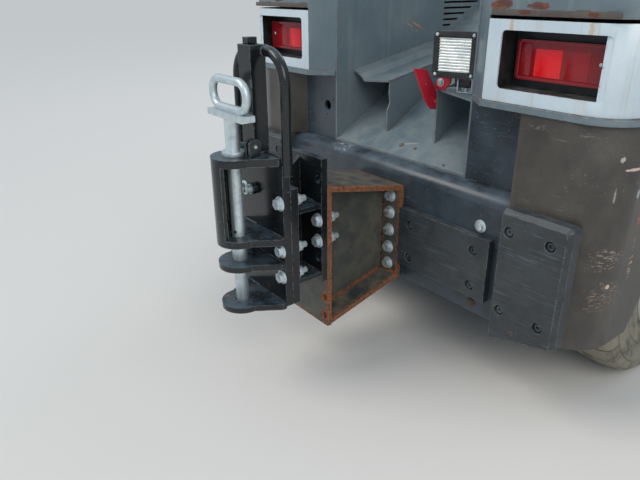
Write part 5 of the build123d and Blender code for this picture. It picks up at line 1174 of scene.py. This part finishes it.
def grab_handles():
    """Bent grab bars on the cab's rear posts, beside the doors."""
    y = outline("cab_shell")[0].y + 26
    low, high = GRAB_ENDS
    bend = ((0, 0), (26, 0), (38, 6), (42, 20))          # out from the post, along from the end
    line = [(out, low + along) for out, along in bend] + [(42, (low + high) / 2)]
    line += [(out, high - along) for out, along in reversed(bend)]
    for word, side in SIDES:
        bm = bmesh.new()
        bar(bm, [(side * (POST_FACE + out), y, z) for out, z in line], 11, 20)
        for z in GRAB_ENDS:
            lathe(bm, [(0, 0), (22, 0), (22, 3), (16, 5), (0, 5)],
                  aimed((side * POST_FACE, y, z), (side, 0, 0)))
        finished(f"grab_bar_{word}", bm, BLACK_PLASTIC)


def step_treads():
    """Raised bars across the floor of each step."""
    for word, side in SIDES:
        bm = bmesh.new()
        for number in range(TREAD_BARS):
            y = STEP_REAR + number * TREAD_PITCH
            block(bm, (side * STEP_INNER, y, STEP_TOP), (side * STEP_OUTER, y + 12, STEP_TOP + 4),
                  1.6)
        finished(f"step_tread_{word}", bm, ZINC)


def wiper():
    """Windscreen wiper: spindle on the cowl, arm and rubber blade that lie on the glass."""
    foot = Vector((WIPER_FOOT[0], outline("cab_glass")[1].y - 3, WIPER_FOOT[1]))
    lean = Vector(GLASS_LEAN).normalized()
    out = Vector((0, lean.z, -lean.y))
    reach = foot + lean * WIPER_REACH[1] + Vector((WIPER_REACH[0], 0, 0))
    blade = (reach - foot).normalized() * BLADE_HALF
    bm = bmesh.new()
    drum(bm, 14, 26, aimed(foot - out * 6, out), 24, 3)
    bar(bm, [foot + out * 18, foot.lerp(reach, 0.35) + out * 20, reach + out * 14], [7, 6, 4],
        12, 0.6)
    bar(bm, [reach - blade + out * 8, reach + out * 9, reach + blade + out * 8], [4, 5, 4],
        10, 1.4)
    finished("wiper", bm, BLACK_PLASTIC)


def pedal_pads():
    """Ribbed rubber pads on the pedals."""
    bm = bmesh.new()
    for x in PEDALS:
        y, z = PEDAL_FACE, PEDAL_FOOT
        block(bm, (x - 34, y - 5, z + 2), (x + 34, y + 1, z + 78), 2)
        for rib in range(z + 8, z + 78, 14):
            block(bm, (x - 30, y - 8, rib), (x + 30, y - 4, rib + 6), 1)
    finished("pedal_pads", bm, BLACK_PLASTIC)


def lid_handle():
    """Folding handle on the battery lid, in its dished plate."""
    y = outline("battery_lid")[0].y + 70
    bm = bmesh.new()
    rounded_sheet(bm, 150, 60, 10, 2.5, Matrix.Translation((0, y, LID_TOP)), 0.8)
    half = ((50, 2), (50, 9), (44, 12))
    bar(bm, [(-x, y, LID_TOP + up) for x, up in half]
        + [(x, y, LID_TOP + up) for x, up in reversed(half)], 4.5, 14)
    finished("lid_handle", bm, ZINC, "lid")


def bumper_bolts():
    """Dome-headed bolts of the front bumper."""
    bm = bmesh.new()
    for place in BUMPER_BOLTS:
        lathe(bm, [(0, 0), (19, 0), (19, 2), (17, 6), (11, 9.5), (0, 11)], aimed(place, AHEAD))
    finished("bumper_bolts", bm, ZINC)


def dress_nodes():
    """Gives each CAD node the finish of its slot, and rounds its edges."""
    for part in frame["record"]["subparts"]:
        mesh = frame["nodes"][part["node"]].data
        mesh.materials.clear()
        mesh.materials.append(FINISHES[part["material_slot"]])
    for piece in frame["nodes"].values():
        modify(piece, "merged", "WELD", merge_threshold=WELDED_WITHIN)
        modify(piece, "flat", "DECIMATE", decimate_type="DISSOLVE", angle_limit=FLAT_WITHIN)
        modify(piece, "edge", "BEVEL", width=EDGE_RADIUS, segments=2, limit_method="ANGLE",
               angle_limit=SHARP_FROM, harden_normals=True)


# Name, kind, place, width (metres, or the sun's degrees), strength, colour; each looks at the
# middle of the machine
STUDIO_LAMPS = [("key", "SUN", (-3.0, -5.0, 7.0), 32.0, 1.25, "#FFF8EE"),
                ("fill", "AREA", (4.5, -3.5, 4.0), 3.5, 130.0, "#FFF6EA"),
                ("back", "AREA", (-1.5, 5.5, 5.0), 4.0, 105.0, "#FFFFFF")]
LAMPS_LOOK_AT = Vector((0, -0.3, 0.8))
FLOOR_HALF = 80.0         # metres


def floor_paint(tree, _):
    """Pale matt floor paint: plain, so that it shows only the machine's soft shadow."""
    return add(tree, "BsdfDiffuse", {"Color": hex_colour("#D9D8D5")})


def studio():
    """Pale floor, soft lamps and the camera at the photograph's place."""
    scene = bpy.context.scene
    bm = bmesh.new()
    bmesh.ops.create_grid(bm, x_segments=1, y_segments=1, size=FLOOR_HALF)
    mesh = bpy.data.meshes.new("studio_floor")
    bm.to_mesh(mesh)
    bm.free()
    mesh.materials.append(material("pale_floor", floor_paint))
    linked("studio_floor", mesh)
    for name, kind, place, width, strength, tint in STUDIO_LAMPS:
        data = bpy.data.lights.new(name, kind)
        if kind == "SUN":
            data.angle = radians(width)
        else:
            data.size = width
        data.energy = strength
        data.color = hex_colour(tint)[:3]
        lamp = linked(name, data)
        lamp.location = place
        lamp.rotation_mode = "QUATERNION"
        lamp.rotation_quaternion = (LAMPS_LOOK_AT - lamp.location).to_track_quat("-Z", "Y")
    world = scene.world = bpy.data.worlds.new("studio")
    world.use_nodes = True
    tree = world.node_tree
    tree.nodes.clear()
    seen = add(tree, "LightPath", out="Is Camera Ray")
    sky = add(tree, "Background", {"Color": hex_colour("#D3E0EE"), "Strength": 0.74})
    backdrop = add(tree, "Background", {"Color": hex_colour("#D2D3D3"), "Strength": 1.0})
    add(tree, "OutputWorld", {"Surface": add(tree, "MixShader", {0: seen, 1: sky, 2: backdrop})})
    data = bpy.data.cameras.new("photo_camera")
    data.sensor_width = SENSOR_MM
    data.lens = FOCAL_PIXELS / IMAGE_WIDTH * SENSOR_MM
    camera = scene.camera = linked("photo_camera", data)
    camera.matrix_world = (Matrix.Translation(TO_METRES @ Vector(CAMERA_SPOT))
                           @ Matrix.Rotation(radians(CAMERA_TURN), 4, "Z")
                           @ Matrix.Rotation(radians(90 - CAMERA_DROP), 4, "X")
                           @ Matrix.Rotation(radians(CAMERA_ROLL), 4, "Z"))
    scene.view_settings.view_transform = "Standard"


for make in (studio, dress_nodes, tyres, wheel_fittings, bolts, nuts, stop_bolt, lug_pin, welds,
             pad_screws, deck_strips, chute_fittings, work_lamp, rear_lamps, headlamps,
             steering_wheel, seat, mirrors, pane_seals, door_handles, grab_handles, step_treads,
             wiper, pedal_pads, lid_handle, bumper_bolts):
    make()
